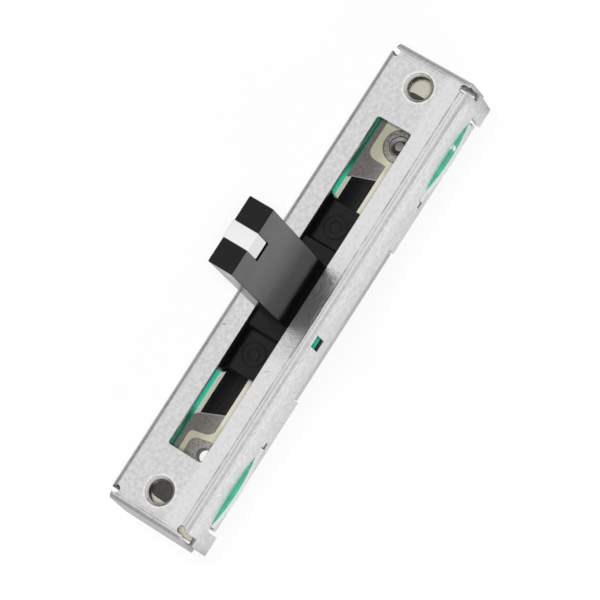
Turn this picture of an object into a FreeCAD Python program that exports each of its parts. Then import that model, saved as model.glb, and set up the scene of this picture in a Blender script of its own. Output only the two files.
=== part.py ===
import FreeCAD, Part
import Sketcher
import os

os.makedirs("parts", exist_ok=True)
doc = FreeCAD.newDocument("slide_potentiometer")

# Driving dimensions in millimetres
DIMENSIONS = [
    ("travel", 30.0),
    ("stop_clearance", 0.15),
    ("rest_offset", 0.148),
    ("slot_from_end", 7.3),
    ("slot_side_clearance", 0.63),
    ("slot_corner_radius", 0.25),
    ("hole_from_end", 3.0),
    ("tapped_bore_radius", 1.25),
    ("bore_mouth_bevel", 0.25),
    ("collar_wall", 0.65),
    ("collar_depth", 0.9),
    ("frame_width", 9.32),
    ("sheet", 0.4),
    ("inner_bend_radius", 0.48),
    ("wall_below_board", 0.9),
    ("foot_drop", 1.25),
    ("foot_width", 2.1),
    ("foot_end_step", 0.14),
    ("foot_corner_radius", 0.2),
    ("corner_cut_height", 3.1),
    ("corner_cut_from_end", 1.0),
    ("relief_radius", 0.42),
    ("flap_side_step", 0.71),
    ("flap_leg_clearance", 0.06),
    ("flap_corner_radius", 0.8),
    ("flap_below_board", 0.35),
    ("flap_flare", 0.3),
    ("window_length", 1.25),
    ("window_centre", 3.08),
    ("window_top", 0.9),
    ("window_bottom", 3.2),
    ("ear_length", 7.96),
    ("ear_arch", 0.38),
    ("ear_flush_length", 1.0),
    ("ear_to_relief", 0.23),
    ("ear_end_clearance", 0.12),
    ("ear_height_clearance", 0.07),
    ("slit_tail_length", 0.55),
    ("slit_tail_drop", 0.4),
    ("slit_tail_height", 0.6),
    ("strip_corner_radius", 0.35),
    ("relief_slit", 0.35),
    ("crimp_tab_length", 16.9),
    ("crimp_tab_drop", 0.4),
    ("crimp_tab_lean", 0.2),
    ("crimp_tab_gap", 0.15),
    ("board_top_depth", 4.6),
    ("board_thickness", 1.0),
    ("board_side_clearance", 0.09),
    ("board_end_clearance", 0.1),
    ("print_thickness", 0.05),
    ("copper_thickness", 0.06),
    ("mask_thickness", 0.05),
    ("mask_end_margin", 0.7),
    ("mask_land_clearance", 0.12),
    ("track_to_mask", 0.5),
    ("track_outer", 2.6),
    ("track_inner", 0.2),
    ("collector_inner", 0.35),
    ("near_outer_overlap", 0.6),
    ("near_inner_overlap", 1.6),
    ("far_outer_overlap", 2.1),
    ("far_inner_overlap", 1.3),
    ("electrode_lead_width", 0.6),
    ("electrode_past_hole", 0.6),
    ("electrode_before_hole", 3.3),
    ("electrode_end_radius", 1.5),
    ("pad_clearing", 2.35),
    ("isolating_gap", 0.5),
    ("near_block_slant", 0.9),
    ("far_block_slant", 0.1),
    ("far_block_corner_radius", 0.9),
    ("near_pad_slant", 0.85),
    ("near_pad_corner_x", 1.35),
    ("near_pad_corner_drop", 0.55),
    ("near_pad_corner_radius", 0.8),
    ("collector_terminal_from_end", 8.25),
    ("outer_terminal_from_end", 4.7),
    ("outer_terminal_y", 1.8),
    ("open_hole_radius", 0.72),
    ("far_pad_radius", 1.75),
    ("rivet_bore_radius", 0.5),
    ("rivet_wall", 0.1),
    ("rivet_head_overlap", 0.5),
    ("rivet_head_height", 0.14),
    ("rivet_fit_clearance", 0.02),
    ("terminal_sheet", 0.3),
    ("terminal_plate_radius", 0.95),
    ("terminal_stud_height", 0.08),
    ("terminal_blade_width", 0.9),
    ("terminal_tip_bevel", 0.22),
    ("terminal_reach", 1.5),
    ("terminal_tip_above_foot", 0.05),
    ("land_radius", 1.25),
    ("lever_length", 7.1),
    ("lever_thickness", 2.7),
    ("lever_height", 18.13),
    ("lever_edge_radius", 0.12),
    ("runner_clearance", 0.08),
    ("runner_side_clearance", 0.2),
    ("runner_end_clearance", 0.4),
    ("runner_inner", 2.3),
    ("runner_bevel", 0.42),
    ("runner_start", 5.0),
    ("waist_step", 0.86),
    ("deck_step", 0.64),
    ("deck_below_sheet", 1.1),
    ("deck_flare_start", 1.45),
    ("deck_flare_end", 2.5),
    ("deck_above_board", 1.3),
    ("centre_block_length", 10.6),
    ("centre_block_clearance", 0.22),
    ("centre_block_width", 4.7),
    ("block_ledge", 0.25),
    ("mark_centre", 7.3),
    ("mark_outer_radius", 1.25),
    ("mark_middle_radius", 0.65),
    ("mark_line", 0.14),
    ("mark_height", 0.06),
    ("index_width", 1.87),
    ("index_reach", 2.93),
    ("index_proud", 0.05),
    ("index_corner_radius", 0.12),
    ("index_groove_depth", 0.4),
    ("index_groove_clearance", 0.03),
    ("index_gap_below", 0.65),
    ("core_depth", 0.8),
    ("core_wall", 0.9),
    ("core_web_x", 1.2),
    ("brush_seat_overlap", 0.45),
    ("brush_sheet", 0.12),
    ("brush_plate_start", 4.6),
    ("brush_plate_length", 4.0),
    ("brush_width", 5.0),
    ("brush_split", 0.8),
    ("finger_tip_x", 0.3),
    ("finger_tip_flat", 0.4),
    ("finger_tip_rise", 0.3),
    ("finger_gap", 0.16),
    ("finger_track_clearance", 0.03),
    ("stake_radius", 0.4),
    ("stake_hole_clearance", 0.03),
    ("stake_head_radius", 0.62),
    ("stake_head_height", 0.25),
    ("stake_spacing", 3.4),
]

sheet = doc.addObject("Spreadsheet::Sheet", "Sizes")
for row, (alias, number) in enumerate(DIMENSIONS, start=1):
    sheet.set("A%d" % row, alias)
    sheet.set("B%d" % row, str(number))
    sheet.setAlias("B%d" % row, alias)
doc.recompute()


class Length:
    """A length that carries its formula in the sheet's names beside its present value."""

    def __init__(self, text, value):
        self.text = text
        self.value = float(value)

    def join(self, sign, left, right):
        text = "(%s %s %s)" % (left.text, sign, right.text)
        if sign == "+":
            return Length(text, left.value + right.value)
        if sign == "-":
            return Length(text, left.value - right.value)
        if sign == "*":
            return Length(text, left.value * right.value)
        return Length(text, left.value / right.value)

    def __add__(self, other):
        return self.join("+", self, length(other))

    def __radd__(self, other):
        return self.join("+", length(other), self)

    def __sub__(self, other):
        return self.join("-", self, length(other))

    def __rsub__(self, other):
        return self.join("-", length(other), self)

    def __mul__(self, other):
        return self.join("*", self, length(other))

    def __rmul__(self, other):
        return self.join("*", length(other), self)

    def __truediv__(self, other):
        return self.join("/", self, length(other))

    def __neg__(self):
        return Length("(0 - %s)" % self.text, -self.value)


def length(thing):
    """Turn a plain number into a length."""
    if isinstance(thing, Length):
        return thing
    return Length(str(thing), thing)


class Dimensions:
    """The sheet's names as lengths."""


d = Dimensions()
for alias, number in DIMENSIONS:
    setattr(d, alias, Length("Sizes." + alias, number))

ZERO = length(0)


def bind(thing, name, value):
    """Tie a property to a formula in the sheet's names."""
    thing.setExpression(name, length(value).text)


# Plan sizes that follow: the travel sets the slot, and the slot sets the frame's ends
slot_length = d.travel + d.lever_length + d.stop_clearance * 2
slot_width = d.lever_thickness + d.slot_side_clearance * 2
half_travel = d.travel / 2
half_length = slot_length / 2 + d.slot_from_end
half_width = d.frame_width / 2
inner_half_width = half_width - d.sheet
inner_half_length = half_length - d.sheet
corner_x = half_length - d.corner_cut_from_end
flap_half_width = half_width - d.flap_side_step
flap_leg_half_width = inner_half_width - d.flap_leg_clearance
hole_x = half_length - d.hole_from_end
foot_outer_x = half_length - d.foot_end_step
foot_inner_x = foot_outer_x - d.foot_width
bend_radius = d.inner_bend_radius + d.sheet
collar_radius = d.tapped_bore_radius + d.collar_wall

# Levels that follow, as depths below the plate's top face
board_bottom_depth = d.board_top_depth + d.board_thickness
print_top_depth = d.board_top_depth - d.print_thickness
crimp_tab_top = d.board_top_depth + d.crimp_tab_drop
wall_height = board_bottom_depth + d.wall_below_board
foot_height = wall_height + d.foot_drop
flap_height = board_bottom_depth + d.flap_below_board
deck_top_depth = d.sheet + d.deck_below_sheet
deck_bottom_depth = d.board_top_depth - d.deck_above_board
centre_block_top_depth = d.sheet + d.centre_block_clearance

# The board and its ears: the ears end beside the feet, and their arch starts flush with the wall
board_half_length = inner_half_length - d.board_end_clearance
board_half_width = inner_half_width - d.board_side_clearance
ear_half = d.ear_length / 2
ear_centre = foot_inner_x - d.relief_slit - d.ear_to_relief - ear_half
ear_reach = half_width + d.ear_arch
ear_arc_radius = (ear_half * ear_half + d.ear_arch * d.ear_arch) / (d.ear_arch * 2)
ear_inner = ear_centre - ear_half - d.ear_flush_length
slit_near = ear_inner - d.ear_end_clearance
slit_tail = slit_near - d.slit_tail_length
slit_tail_top = d.board_top_depth + d.slit_tail_drop
slit_tail_bottom = slit_tail_top + d.slit_tail_height

# Prints and terminals: the track's ends lie under the brush at the ends of the travel
mask_half_length = board_half_length - d.mask_end_margin
mask_inner_edge = d.track_outer + d.track_to_mask
lead_inner = mask_inner_edge - d.electrode_lead_width
collector_terminal_x = half_length - d.collector_terminal_from_end
outer_terminal_x = half_length - d.outer_terminal_from_end
electrode_end = hole_x + d.electrode_past_hole
electrode_pad_start = hole_x - d.electrode_before_hole
electrode_block_end = collector_terminal_x - d.pad_clearing
rivet_shank_radius = d.rivet_bore_radius + d.rivet_wall
rivet_head_radius = rivet_shank_radius + d.rivet_head_overlap
rivet_hole = rivet_shank_radius + d.rivet_fit_clearance


def new_body(name):
    """Start a sub-part whose own zero level is the plate's top face."""
    body = doc.addObject("PartDesign::Body", name)
    body.Label = name
    bind(body, "Placement.Base.z", foot_height)
    return body


def new_sketch(body, role, name, offset=None):
    """Attach a sketch to one of the body's own origin planes."""
    sketch = doc.addObject("Sketcher::SketchObject", name)
    body.addObject(sketch)
    plane = [f for f in body.Origin.OriginFeatures if f.Role == role][0]
    sketch.AttachmentSupport = (plane, [""])
    sketch.MapMode = "FlatFace"
    if offset is not None:
        bind(sketch, "AttachmentOffset.Base.z", offset)
    return sketch


def place(sketch, geometry, end, x, y):
    """Hold a point of a sketch at a pair of lengths."""
    for kind, axis, value in (("DistanceX", -2, length(x)), ("DistanceY", -1, length(y))):
        if value.value == 0:
            sketch.addConstraint(Sketcher.Constraint("PointOnObject", geometry, end, axis))
        else:
            number = sketch.addConstraint(Sketcher.Constraint(kind, -1, 1, geometry, end, value.value))
            sketch.setExpression("Constraints[%d]" % number, value.text)


def add_loop(sketch, points):
    """Draw a closed outline through pairs of lengths."""
    first = sketch.GeometryCount
    count = len(points)
    spots = [FreeCAD.Vector(length(x).value, length(y).value, 0) for x, y in points]
    for i in range(count):
        sketch.addGeometry(Part.LineSegment(spots[i], spots[(i + 1) % count]), False)
    for i in range(count):
        after = first + (i + 1) % count
        sketch.addConstraint(Sketcher.Constraint("Coincident", first + i, 2, after, 1))
    for i, (x, y) in enumerate(points):
        place(sketch, first + i, 1, x, y)


def add_rectangle(sketch, x0, y0, x1, y1):
    add_loop(sketch, [(x0, y0), (x1, y0), (x1, y1), (x0, y1)])


def add_circle(sketch, x, y, radius):
    """Draw a circle held by its centre and radius."""
    centre = FreeCAD.Vector(length(x).value, length(y).value, 0)
    number = sketch.addGeometry(Part.Circle(centre, FreeCAD.Vector(0, 0, 1), length(radius).value), False)
    held = sketch.addConstraint(Sketcher.Constraint("Radius", number, length(radius).value))
    sketch.setExpression("Constraints[%d]" % held, length(radius).text)
    place(sketch, number, 3, x, y)


def check_shape(feature):
    """Stop at once when a feature gives no sound shape."""
    if feature.Shape.isNull() or not feature.Shape.isValid() or not feature.Shape.Solids:
        raise RuntimeError(feature.Name + " gives no sound shape")


def add_feature(kind, body, sketch, name, depth, both, turned):
    """Pad or pocket a sketch by a bound depth, or through everything when no depth is given."""
    feature = body.newObject("PartDesign::" + kind, name)
    feature.Profile = sketch
    if both:
        feature.SideType = "Symmetric"
    feature.Reversed = turned
    if depth is None:
        feature.Type = "ThroughAll"
    else:
        bind(feature, "Length", depth)
    doc.recompute()
    check_shape(feature)
    return feature


def pad(body, sketch, name, depth, both=False, turned=False):
    return add_feature("Pad", body, sketch, name, depth, both, turned)


def pocket(body, sketch, name, depth=None, both=False, turned=False):
    """Pocket a sketch and make sure that metal really goes."""
    before = body.Tip.Shape.Volume
    feature = add_feature("Pocket", body, sketch, name, depth, both, turned)
    if feature.Shape.Volume >= before:
        raise RuntimeError(name + " takes nothing away")
    return feature


def round_edges(body, name, radius, chosen):
    """Round the edges of the body that a test picks."""
    base = body.Tip
    names = ["Edge%d" % (i + 1) for i, edge in enumerate(base.Shape.Edges) if chosen(edge)]
    if not names:
        raise RuntimeError(name + " finds no edge")
    feature = body.newObject("PartDesign::Fillet", name)
    feature.Base = (base, names)
    bind(feature, "Radius", radius)
    doc.recompute()
    check_shape(feature)
    return feature


def bevel_edges(body, name, size, chosen):
    """Bevel the edges of the body that a test picks."""
    base = body.Tip
    names = ["Edge%d" % (i + 1) for i, edge in enumerate(base.Shape.Edges) if chosen(edge)]
    if not names:
        raise RuntimeError(name + " finds no edge")
    feature = body.newObject("PartDesign::Chamfer", name)
    feature.Base = (base, names)
    bind(feature, "Size", size)
    doc.recompute()
    check_shape(feature)
    return feature


def near(a, b):
    return abs(a - length(b).value) < 1e-4


def runs_along(edge, axis):
    """True for a straight edge along one axis, 0 for X, 1 for Y and 2 for Z."""
    if len(edge.Vertexes) != 2 or edge.Curve.TypeId != "Part::GeomLine":
        return False
    step = edge.Vertexes[1].Point - edge.Vertexes[0].Point
    return all(abs(step[i]) < 1e-6 for i in range(3) if i != axis)


# Top frame: one folded sheet of steel
frame = new_body("top_frame")
channel = new_sketch(frame, "YZ_Plane", "channel_section")
add_loop(channel, [
    (-half_width, -foot_height),
    (-inner_half_width, -foot_height),
    (-inner_half_width, -d.sheet),
    (inner_half_width, -d.sheet),
    (inner_half_width, -foot_height),
    (half_width, -foot_height),
    (half_width, ZERO),
    (-half_width, ZERO),
])
pad(frame, channel, "channel", foot_outer_x * 2, both=True)


def inner_bend(edge):
    centre = edge.CenterOfMass
    return runs_along(edge, 0) and near(-centre.z, d.sheet) and near(abs(centre.y), inner_half_width)


def outer_bend(edge):
    centre = edge.CenterOfMass
    return runs_along(edge, 0) and abs(centre.z) < 1e-4 and near(abs(centre.y), half_width)


round_edges(frame, "inner_bends", d.inner_bend_radius, inner_bend)
round_edges(frame, "outer_bends", bend_radius, outer_bend)

# Wall ends step back above the feet, and the plate ends at the corner line
ends = new_sketch(frame, "XZ_Plane", "end_cuts")
for side in (-1, 1):
    add_rectangle(ends, corner_x * side, -d.corner_cut_height, (half_length + 1) * side, length(1))
pocket(frame, ends, "end_cuts_taken", both=True)

# Bottom outline of both walls between the feet
lower = new_sketch(frame, "XZ_Plane", "lower_outline")
add_rectangle(lower, -foot_inner_x, -foot_height - 1, foot_inner_x, -wall_height)
pocket(frame, lower, "lower_outline_cut", both=True)

# Slits for the board's ears, with a relief slit beside each foot
slits = new_sketch(frame, "XZ_Plane", "ear_slits")
for side in (-1, 1):
    add_loop(slits, [
        (slit_near * side, -d.board_top_depth + d.ear_height_clearance),
        (foot_inner_x * side, -d.board_top_depth + d.ear_height_clearance),
        (foot_inner_x * side, -wall_height - 1),
        ((foot_inner_x - d.relief_slit) * side, -wall_height - 1),
        ((foot_inner_x - d.relief_slit) * side, -board_bottom_depth - d.ear_height_clearance),
        (slit_near * side, -board_bottom_depth - d.ear_height_clearance),
        (slit_near * side, -slit_tail_bottom),
        (slit_tail * side, -slit_tail_bottom),
        (slit_tail * side, -slit_tail_top),
        (slit_near * side, -slit_tail_top),
    ])
pocket(frame, slits, "ear_slits_cut", both=True)

# The wall is cleared where the crimp tabs lean inwards
crimp_space = new_sketch(frame, "XZ_Plane", "crimp_space")
crimp_half = d.crimp_tab_length / 2
add_rectangle(crimp_space, -crimp_half - d.crimp_tab_gap, -wall_height - 1,
              crimp_half + d.crimp_tab_gap, -crimp_tab_top)
pocket(frame, crimp_space, "crimp_space_cut", both=True)

# End flaps: plate end, bend and leg in one section, with the leg wider than its neck
for label, start, across in (("neck", corner_x - d.sheet, flap_half_width),
                             ("leg", corner_x, flap_leg_half_width)):
    flaps = new_sketch(frame, "XZ_Plane", "flap_section_" + label)
    for side in (-1, 1):
        add_loop(flaps, [
            (start * side, ZERO),
            (half_length * side, ZERO),
            ((half_length + d.flap_flare) * side, -flap_height),
            ((inner_half_length + d.flap_flare) * side, -flap_height),
            (inner_half_length * side, -d.sheet),
            (start * side, -d.sheet),
        ])
    pad(frame, flaps, "flap_" + label, across * 2, both=True)

# Crimp tabs that lean in over the board's edges
for side in (-1, 1):
    label = "rear" if side > 0 else "front"
    tab = new_sketch(frame, "YZ_Plane", "crimp_section_" + label)
    add_loop(tab, [
        (half_width * side, -crimp_tab_top + d.sheet),
        (half_width * side, -crimp_tab_top),
        ((half_width - d.crimp_tab_lean) * side, -wall_height),
        ((inner_half_width - d.crimp_tab_lean) * side, -wall_height),
        (inner_half_width * side, -crimp_tab_top),
        (inner_half_width * side, -crimp_tab_top + d.sheet),
    ])
    pad(frame, tab, "crimp_tab_" + label, d.crimp_tab_length, both=True)

# Collars drawn down around the mounting holes
collars = new_sketch(frame, "XY_Plane", "collar_rings", offset=-d.sheet / 2)
for side in (-1, 1):
    add_circle(collars, hole_x * side, ZERO, collar_radius)
pad(frame, collars, "collars", d.sheet / 2 + d.collar_depth, turned=True)


def flap_bend(edge):
    centre = edge.CenterOfMass
    outer = abs(centre.z) < 1e-4 and near(abs(centre.x), half_length)
    return runs_along(edge, 1) and outer


def flap_inner_bend(edge):
    centre = edge.CenterOfMass
    inner = near(-centre.z, d.sheet) and near(abs(centre.x), inner_half_length)
    return runs_along(edge, 1) and inner


round_edges(frame, "flap_inner_bends", d.inner_bend_radius, flap_inner_bend)
round_edges(frame, "flap_outer_bends", bend_radius, flap_bend)


def flap_corner(edge):
    centre = edge.CenterOfMass
    return runs_along(edge, 0) and near(-centre.z, flap_height) and near(abs(centre.y), flap_leg_half_width)


round_edges(frame, "flap_corners", d.flap_corner_radius, flap_corner)

# Slot for the lever
slot = new_sketch(frame, "XY_Plane", "slot_outline")
add_rectangle(slot, -slot_length / 2, -slot_width / 2, slot_length / 2, slot_width / 2)
pocket(frame, slot, "slot_cut", d.sheet * 2)


def slot_corner(edge):
    centre = edge.CenterOfMass
    return (runs_along(edge, 2) and near(abs(centre.x), slot_length / 2)
            and near(abs(centre.y), slot_width / 2))


round_edges(frame, "slot_corners", d.slot_corner_radius, slot_corner)

# Tapped bores with bevelled mouths
bores = new_sketch(frame, "XY_Plane", "tapped_bores")
for side in (-1, 1):
    add_circle(bores, hole_x * side, ZERO, d.tapped_bore_radius)
pocket(frame, bores, "tapped_bores_cut", d.sheet + d.collar_depth + 1)


def bore_mouth(edge):
    if edge.Curve.TypeId != "Part::GeomCircle" or not near(edge.Curve.Radius, d.tapped_bore_radius):
        return False
    return abs(edge.CenterOfMass.z) < 1e-4


bevel_edges(frame, "bore_mouths", d.bore_mouth_bevel, bore_mouth)

# Round relief holes at the four plate corners
reliefs = new_sketch(frame, "XY_Plane", "relief_holes")
for along in (-1, 1):
    for across in (-1, 1):
        add_circle(reliefs, corner_x * along, flap_half_width * across, d.relief_radius)
pocket(frame, reliefs, "relief_holes_cut", bend_radius + d.sheet)

# The relief holes open outwards between the wall's end and the flap's leg
mouths = new_sketch(frame, "XY_Plane", "relief_mouths")
for along in (-1, 1):
    for across in (-1, 1):
        add_rectangle(mouths, corner_x * along, flap_half_width * across,
                      (corner_x + d.relief_radius) * along, (half_width + 1) * across)
pocket(frame, mouths, "relief_mouths_cut", bend_radius + d.sheet)

# Small window in the front wall
window = new_sketch(frame, "XZ_Plane", "window_outline", offset=inner_half_width - d.sheet)
add_rectangle(window, -d.window_centre - d.window_length / 2, -d.window_bottom,
              -d.window_centre + d.window_length / 2, -d.window_top)
pocket(frame, window, "window_cut", d.sheet * 3, turned=True)


def foot_corner(edge):
    centre = edge.CenterOfMass
    if not runs_along(edge, 1):
        return False
    return near(-centre.z, foot_height) and edge.Length < d.sheet.value * 1.5


def strip_corner(edge):
    centre = edge.CenterOfMass
    outer = near(-centre.x, foot_inner_x - d.relief_slit)
    return runs_along(edge, 1) and outer and near(-centre.z, wall_height)


round_edges(frame, "foot_corners", d.foot_corner_radius, foot_corner)
round_edges(frame, "strip_corners", d.strip_corner_radius, strip_corner)


# Simple solids for the board and the layers on it
def box(name, x, y, z, dx, dy, dz):
    """A box held by its low corner, with heights counted down from the plate."""
    solid = doc.addObject("Part::Box", name)
    bind(solid, "Length", dx)
    bind(solid, "Width", dy)
    bind(solid, "Height", dz)
    bind(solid, "Placement.Base.x", x)
    bind(solid, "Placement.Base.y", y)
    bind(solid, "Placement.Base.z", z)
    return solid


def rod(name, x, y, z, radius, height):
    """A cylinder held by the centre of its lower face."""
    solid = doc.addObject("Part::Cylinder", name)
    bind(solid, "Radius", radius)
    bind(solid, "Height", height)
    bind(solid, "Placement.Base.x", x)
    bind(solid, "Placement.Base.y", y)
    bind(solid, "Placement.Base.z", z)
    return solid


def joined(name, solids):
    result = doc.addObject("Part::MultiFuse", name)
    result.Shapes = solids
    return result


def shared(name, one, other):
    result = doc.addObject("Part::Common", name)
    result.Base = one
    result.Tool = other
    return result


def taken(name, one, other):
    result = doc.addObject("Part::Cut", name)
    result.Base = one
    result.Tool = other
    return result


level = foot_height
board_z = level - board_bottom_depth
print_z = level - d.board_top_depth


def board_outline(name, z, height):
    """Straight board with four ears in the wall slits, each arched and flush at its inner end."""
    pieces = [box(name + "_web", -board_half_length, -board_half_width, z,
                  board_half_length * 2, board_half_width * 2, height)]
    for along in (-1, 1):
        for across in (-1, 1):
            tag = "%s_ear_%d" % (name, len(pieces))
            arch = rod(tag + "_arch", ear_centre * along, (ear_reach - ear_arc_radius) * across,
                       z, ear_arc_radius, height)
            strip_y = (board_half_width - 1) if across > 0 else -ear_reach - 1
            strip = box(tag + "_strip", ear_centre * along - ear_half, strip_y, z,
                        d.ear_length, ear_reach - board_half_width + 2, height)
            pieces.append(shared(tag, arch, strip))
            flush_x = ear_inner if along > 0 else -ear_centre
            flush_y = (board_half_width - 1) if across > 0 else -half_width
            pieces.append(box(tag + "_flush", flush_x, flush_y, z, ear_half + d.ear_flush_length,
                              half_width - board_half_width + 1, height))
    return joined(name, pieces)


# Circuit board with its holes
terminal_spots = [
    ("near", -outer_terminal_x, -d.outer_terminal_y),
    ("far", outer_terminal_x, -d.outer_terminal_y),
    ("wiper", collector_terminal_x, ZERO),
]
blank = board_outline("board_blank", board_z, d.board_thickness)
drills = [rod("drill_" + tag, x, y, board_z - 1, rivet_hole, d.board_thickness + 2)
          for tag, x, y in terminal_spots]
drills.append(rod("drill_open", -collector_terminal_x, ZERO, board_z - 1, d.open_hole_radius,
                  d.board_thickness + 2))
board = taken("circuit_board", blank, joined("board_drills", drills))

# Green lacquer along both long edges of the board
for side in (-1, 1):
    label = "mask_rear" if side > 0 else "mask_front"
    sheet_outline = board_outline(label + "_sheet", print_z, d.mask_thickness)
    band_y = mask_inner_edge if side > 0 else -ear_reach - 1
    band = box(label + "_band", -mask_half_length, band_y, print_z - 1,
               mask_half_length * 2, ear_reach + 1 - mask_inner_edge, length(3))
    shared(label, sheet_outline, band)


# Printed layers on the board, each drawn in plan
def new_print(name, outlines, holes=()):
    """Pad flat outlines on the board's top face and open round holes in them."""
    layer = new_body(name)
    plan = new_sketch(layer, "XY_Plane", name + "_plan", offset=-d.board_top_depth)
    for outline in outlines:
        add_loop(plan, outline)
    for x, y, radius in holes:
        add_circle(plan, x, y, radius)
    pad(layer, plan, name + "_layer", d.print_thickness)
    return layer


def round_uprights(body, name, radius, spots):
    """Round the upright edges that stand at the given places."""
    def chosen(edge):
        centre = edge.CenterOfMass
        return runs_along(edge, 2) and any(near(centre.x, x) and near(centre.y, y) for x, y in spots)
    round_edges(body, name, radius, chosen)


near_outer_end = half_travel - d.near_outer_overlap
near_inner_end = half_travel - d.near_inner_overlap
far_outer_end = half_travel - d.far_outer_overlap
far_inner_end = half_travel - d.far_inner_overlap
new_print("carbon_track", [[
    (-near_outer_end, d.track_outer),
    (-near_inner_end, d.track_inner),
    (far_inner_end, d.track_inner),
    (far_outer_end, d.track_outer),
]])

# Silver at the near end: block beside the track, narrow lead and end pad
gap = d.isolating_gap
block_corner = (-electrode_block_end - d.near_block_slant, lead_inner)
near_plan = [
    (-near_outer_end - gap, mask_inner_edge),
    (-near_outer_end, d.track_outer),
    (-near_inner_end, d.track_inner),
    (-electrode_block_end, d.track_inner),
    (-electrode_block_end - gap, d.track_inner + gap),
    block_corner,
    (-electrode_pad_start, lead_inner),
    (-electrode_pad_start, -mask_inner_edge),
    (-electrode_end, -mask_inner_edge),
    (-electrode_end, mask_inner_edge),
]
near_silver = new_print("electrode_near", [near_plan],
                        [(-outer_terminal_x, -d.outer_terminal_y, rivet_hole)])
round_uprights(near_silver, "near_silver_end", d.electrode_end_radius,
               [(-electrode_end, -mask_inner_edge), (-electrode_end, mask_inner_edge)])
round_uprights(near_silver, "near_silver_corner", gap,
               [block_corner, (-electrode_block_end - gap, d.track_inner + gap)])

# Silver at the far end: the block runs square to the pad's clearing
far_end = electrode_end - gap
far_start = electrode_pad_start + gap
block_corner = (electrode_block_end + d.far_block_slant, lead_inner)
far_plan = [
    (far_outer_end - gap / 2, mask_inner_edge),
    (far_outer_end, d.track_outer),
    (far_inner_end, d.track_inner),
    (electrode_block_end, d.track_inner),
    block_corner,
    (far_start, lead_inner),
    (far_start, -mask_inner_edge),
    (far_end, -mask_inner_edge),
    (far_end, mask_inner_edge),
]
far_silver = new_print("electrode_far", [far_plan],
                       [(outer_terminal_x, -d.outer_terminal_y, rivet_hole)])
round_uprights(far_silver, "far_silver_end", d.electrode_end_radius,
               [(far_end, -mask_inner_edge), (far_end, mask_inner_edge)])
round_uprights(far_silver, "far_silver_corner", d.far_block_corner_radius, [block_corner])

# Collector: near pad round the open hole, track, and ringed far pad
pad_top = lead_inner - d.near_pad_corner_drop
pad_corner = (-electrode_block_end - d.near_pad_corner_x, pad_top)
track_start = -electrode_block_end - gap
near_pad = new_print("collector_pad_near", [[
    (-electrode_pad_start + gap, pad_top),
    pad_corner,
    (-electrode_block_end - d.near_pad_slant, -d.collector_inner),
    (track_start, -d.collector_inner),
    (track_start, -d.track_outer),
    (-electrode_pad_start + gap, -d.track_outer),
]], [(-collector_terminal_x, ZERO, d.open_hole_radius)])
round_uprights(near_pad, "near_pad_corner", d.near_pad_corner_radius, [pad_corner])

new_print("collector_track", [[
    (track_start, -d.track_outer),
    (electrode_block_end, -d.track_outer),
    (electrode_block_end, -d.collector_inner),
    (track_start, -d.collector_inner),
]])

far_pad = new_body("collector_pad_far")
far_disc = new_sketch(far_pad, "XY_Plane", "far_disc_plan", offset=-d.board_top_depth)
add_circle(far_disc, collector_terminal_x, ZERO, d.far_pad_radius)
pad(far_pad, far_disc, "far_disc", d.print_thickness)
far_neck = new_sketch(far_pad, "XY_Plane", "far_neck_plan", offset=-d.board_top_depth)
add_rectangle(far_neck, electrode_block_end, -d.track_outer, collector_terminal_x, -d.far_pad_radius / 2)
pad(far_pad, far_neck, "far_neck", d.print_thickness)
far_bore = new_sketch(far_pad, "XY_Plane", "far_bore_plan")
add_circle(far_bore, collector_terminal_x, ZERO, rivet_hole)
pocket(far_pad, far_bore, "far_bore_cut", d.board_top_depth + 1)

# Copper lands and green lacquer on the board's underside
land_spots = [(x, y) for tag, x, y in terminal_spots] + [(-collector_terminal_x, ZERO)]
land_z = board_z - d.copper_thickness
lands = []
for number, (x, y) in enumerate(land_spots):
    tag = "land_%d" % number
    bore = d.open_hole_radius if number == len(terminal_spots) else rivet_hole
    disc = rod(tag + "_disc", x, y, land_z, d.land_radius, d.copper_thickness)
    lands.append(taken(tag, disc, rod(tag + "_bore", x, y, land_z - 1, bore, length(2))))
joined("lands_underside", lands)
barrel_height = d.board_thickness + d.copper_thickness + d.print_thickness
barrel_wall = rod("barrel_wall", -collector_terminal_x, ZERO, land_z, d.open_hole_radius, barrel_height)
barrel_bore = rod("barrel_bore", -collector_terminal_x, ZERO, land_z - 1,
                  d.open_hole_radius - d.copper_thickness, barrel_height + 2)
taken("hole_plating", barrel_wall, barrel_bore)
under_sheet = box("under_sheet", -mask_half_length, -inner_half_width + d.crimp_tab_lean * 2,
                  board_z - d.mask_thickness, mask_half_length * 2,
                  (inner_half_width - d.crimp_tab_lean * 2) * 2, d.mask_thickness)
clearings = [rod("clearing_%d" % number, x, y, board_z - 1, d.land_radius + d.mask_land_clearance, length(2))
             for number, (x, y) in enumerate(land_spots)]
taken("mask_underside", under_sheet, joined("clearings", clearings))

# Eyelets through the board, one for each terminal
eyelets = []
flange_z = land_z - d.rivet_head_height
for tag, x, y in terminal_spots:
    top_z = print_z + d.print_thickness
    head = rod("eyelet_head_" + tag, x, y, top_z, rivet_head_radius, d.rivet_head_height)
    shank = rod("eyelet_shank_" + tag, x, y, flange_z, rivet_shank_radius,
                d.board_thickness + d.print_thickness + d.copper_thickness + d.rivet_head_height)
    flange = rod("eyelet_flange_" + tag, x, y, flange_z, rivet_head_radius, d.rivet_head_height)
    bore = rod("eyelet_bore_" + tag, x, y, flange_z - 1, d.rivet_bore_radius, d.board_thickness + 3)
    eyelets.append(taken("eyelet_" + tag, joined("eyelet_body_" + tag, [head, shank, flange]), bore))
joined("eyelets", eyelets)

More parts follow.
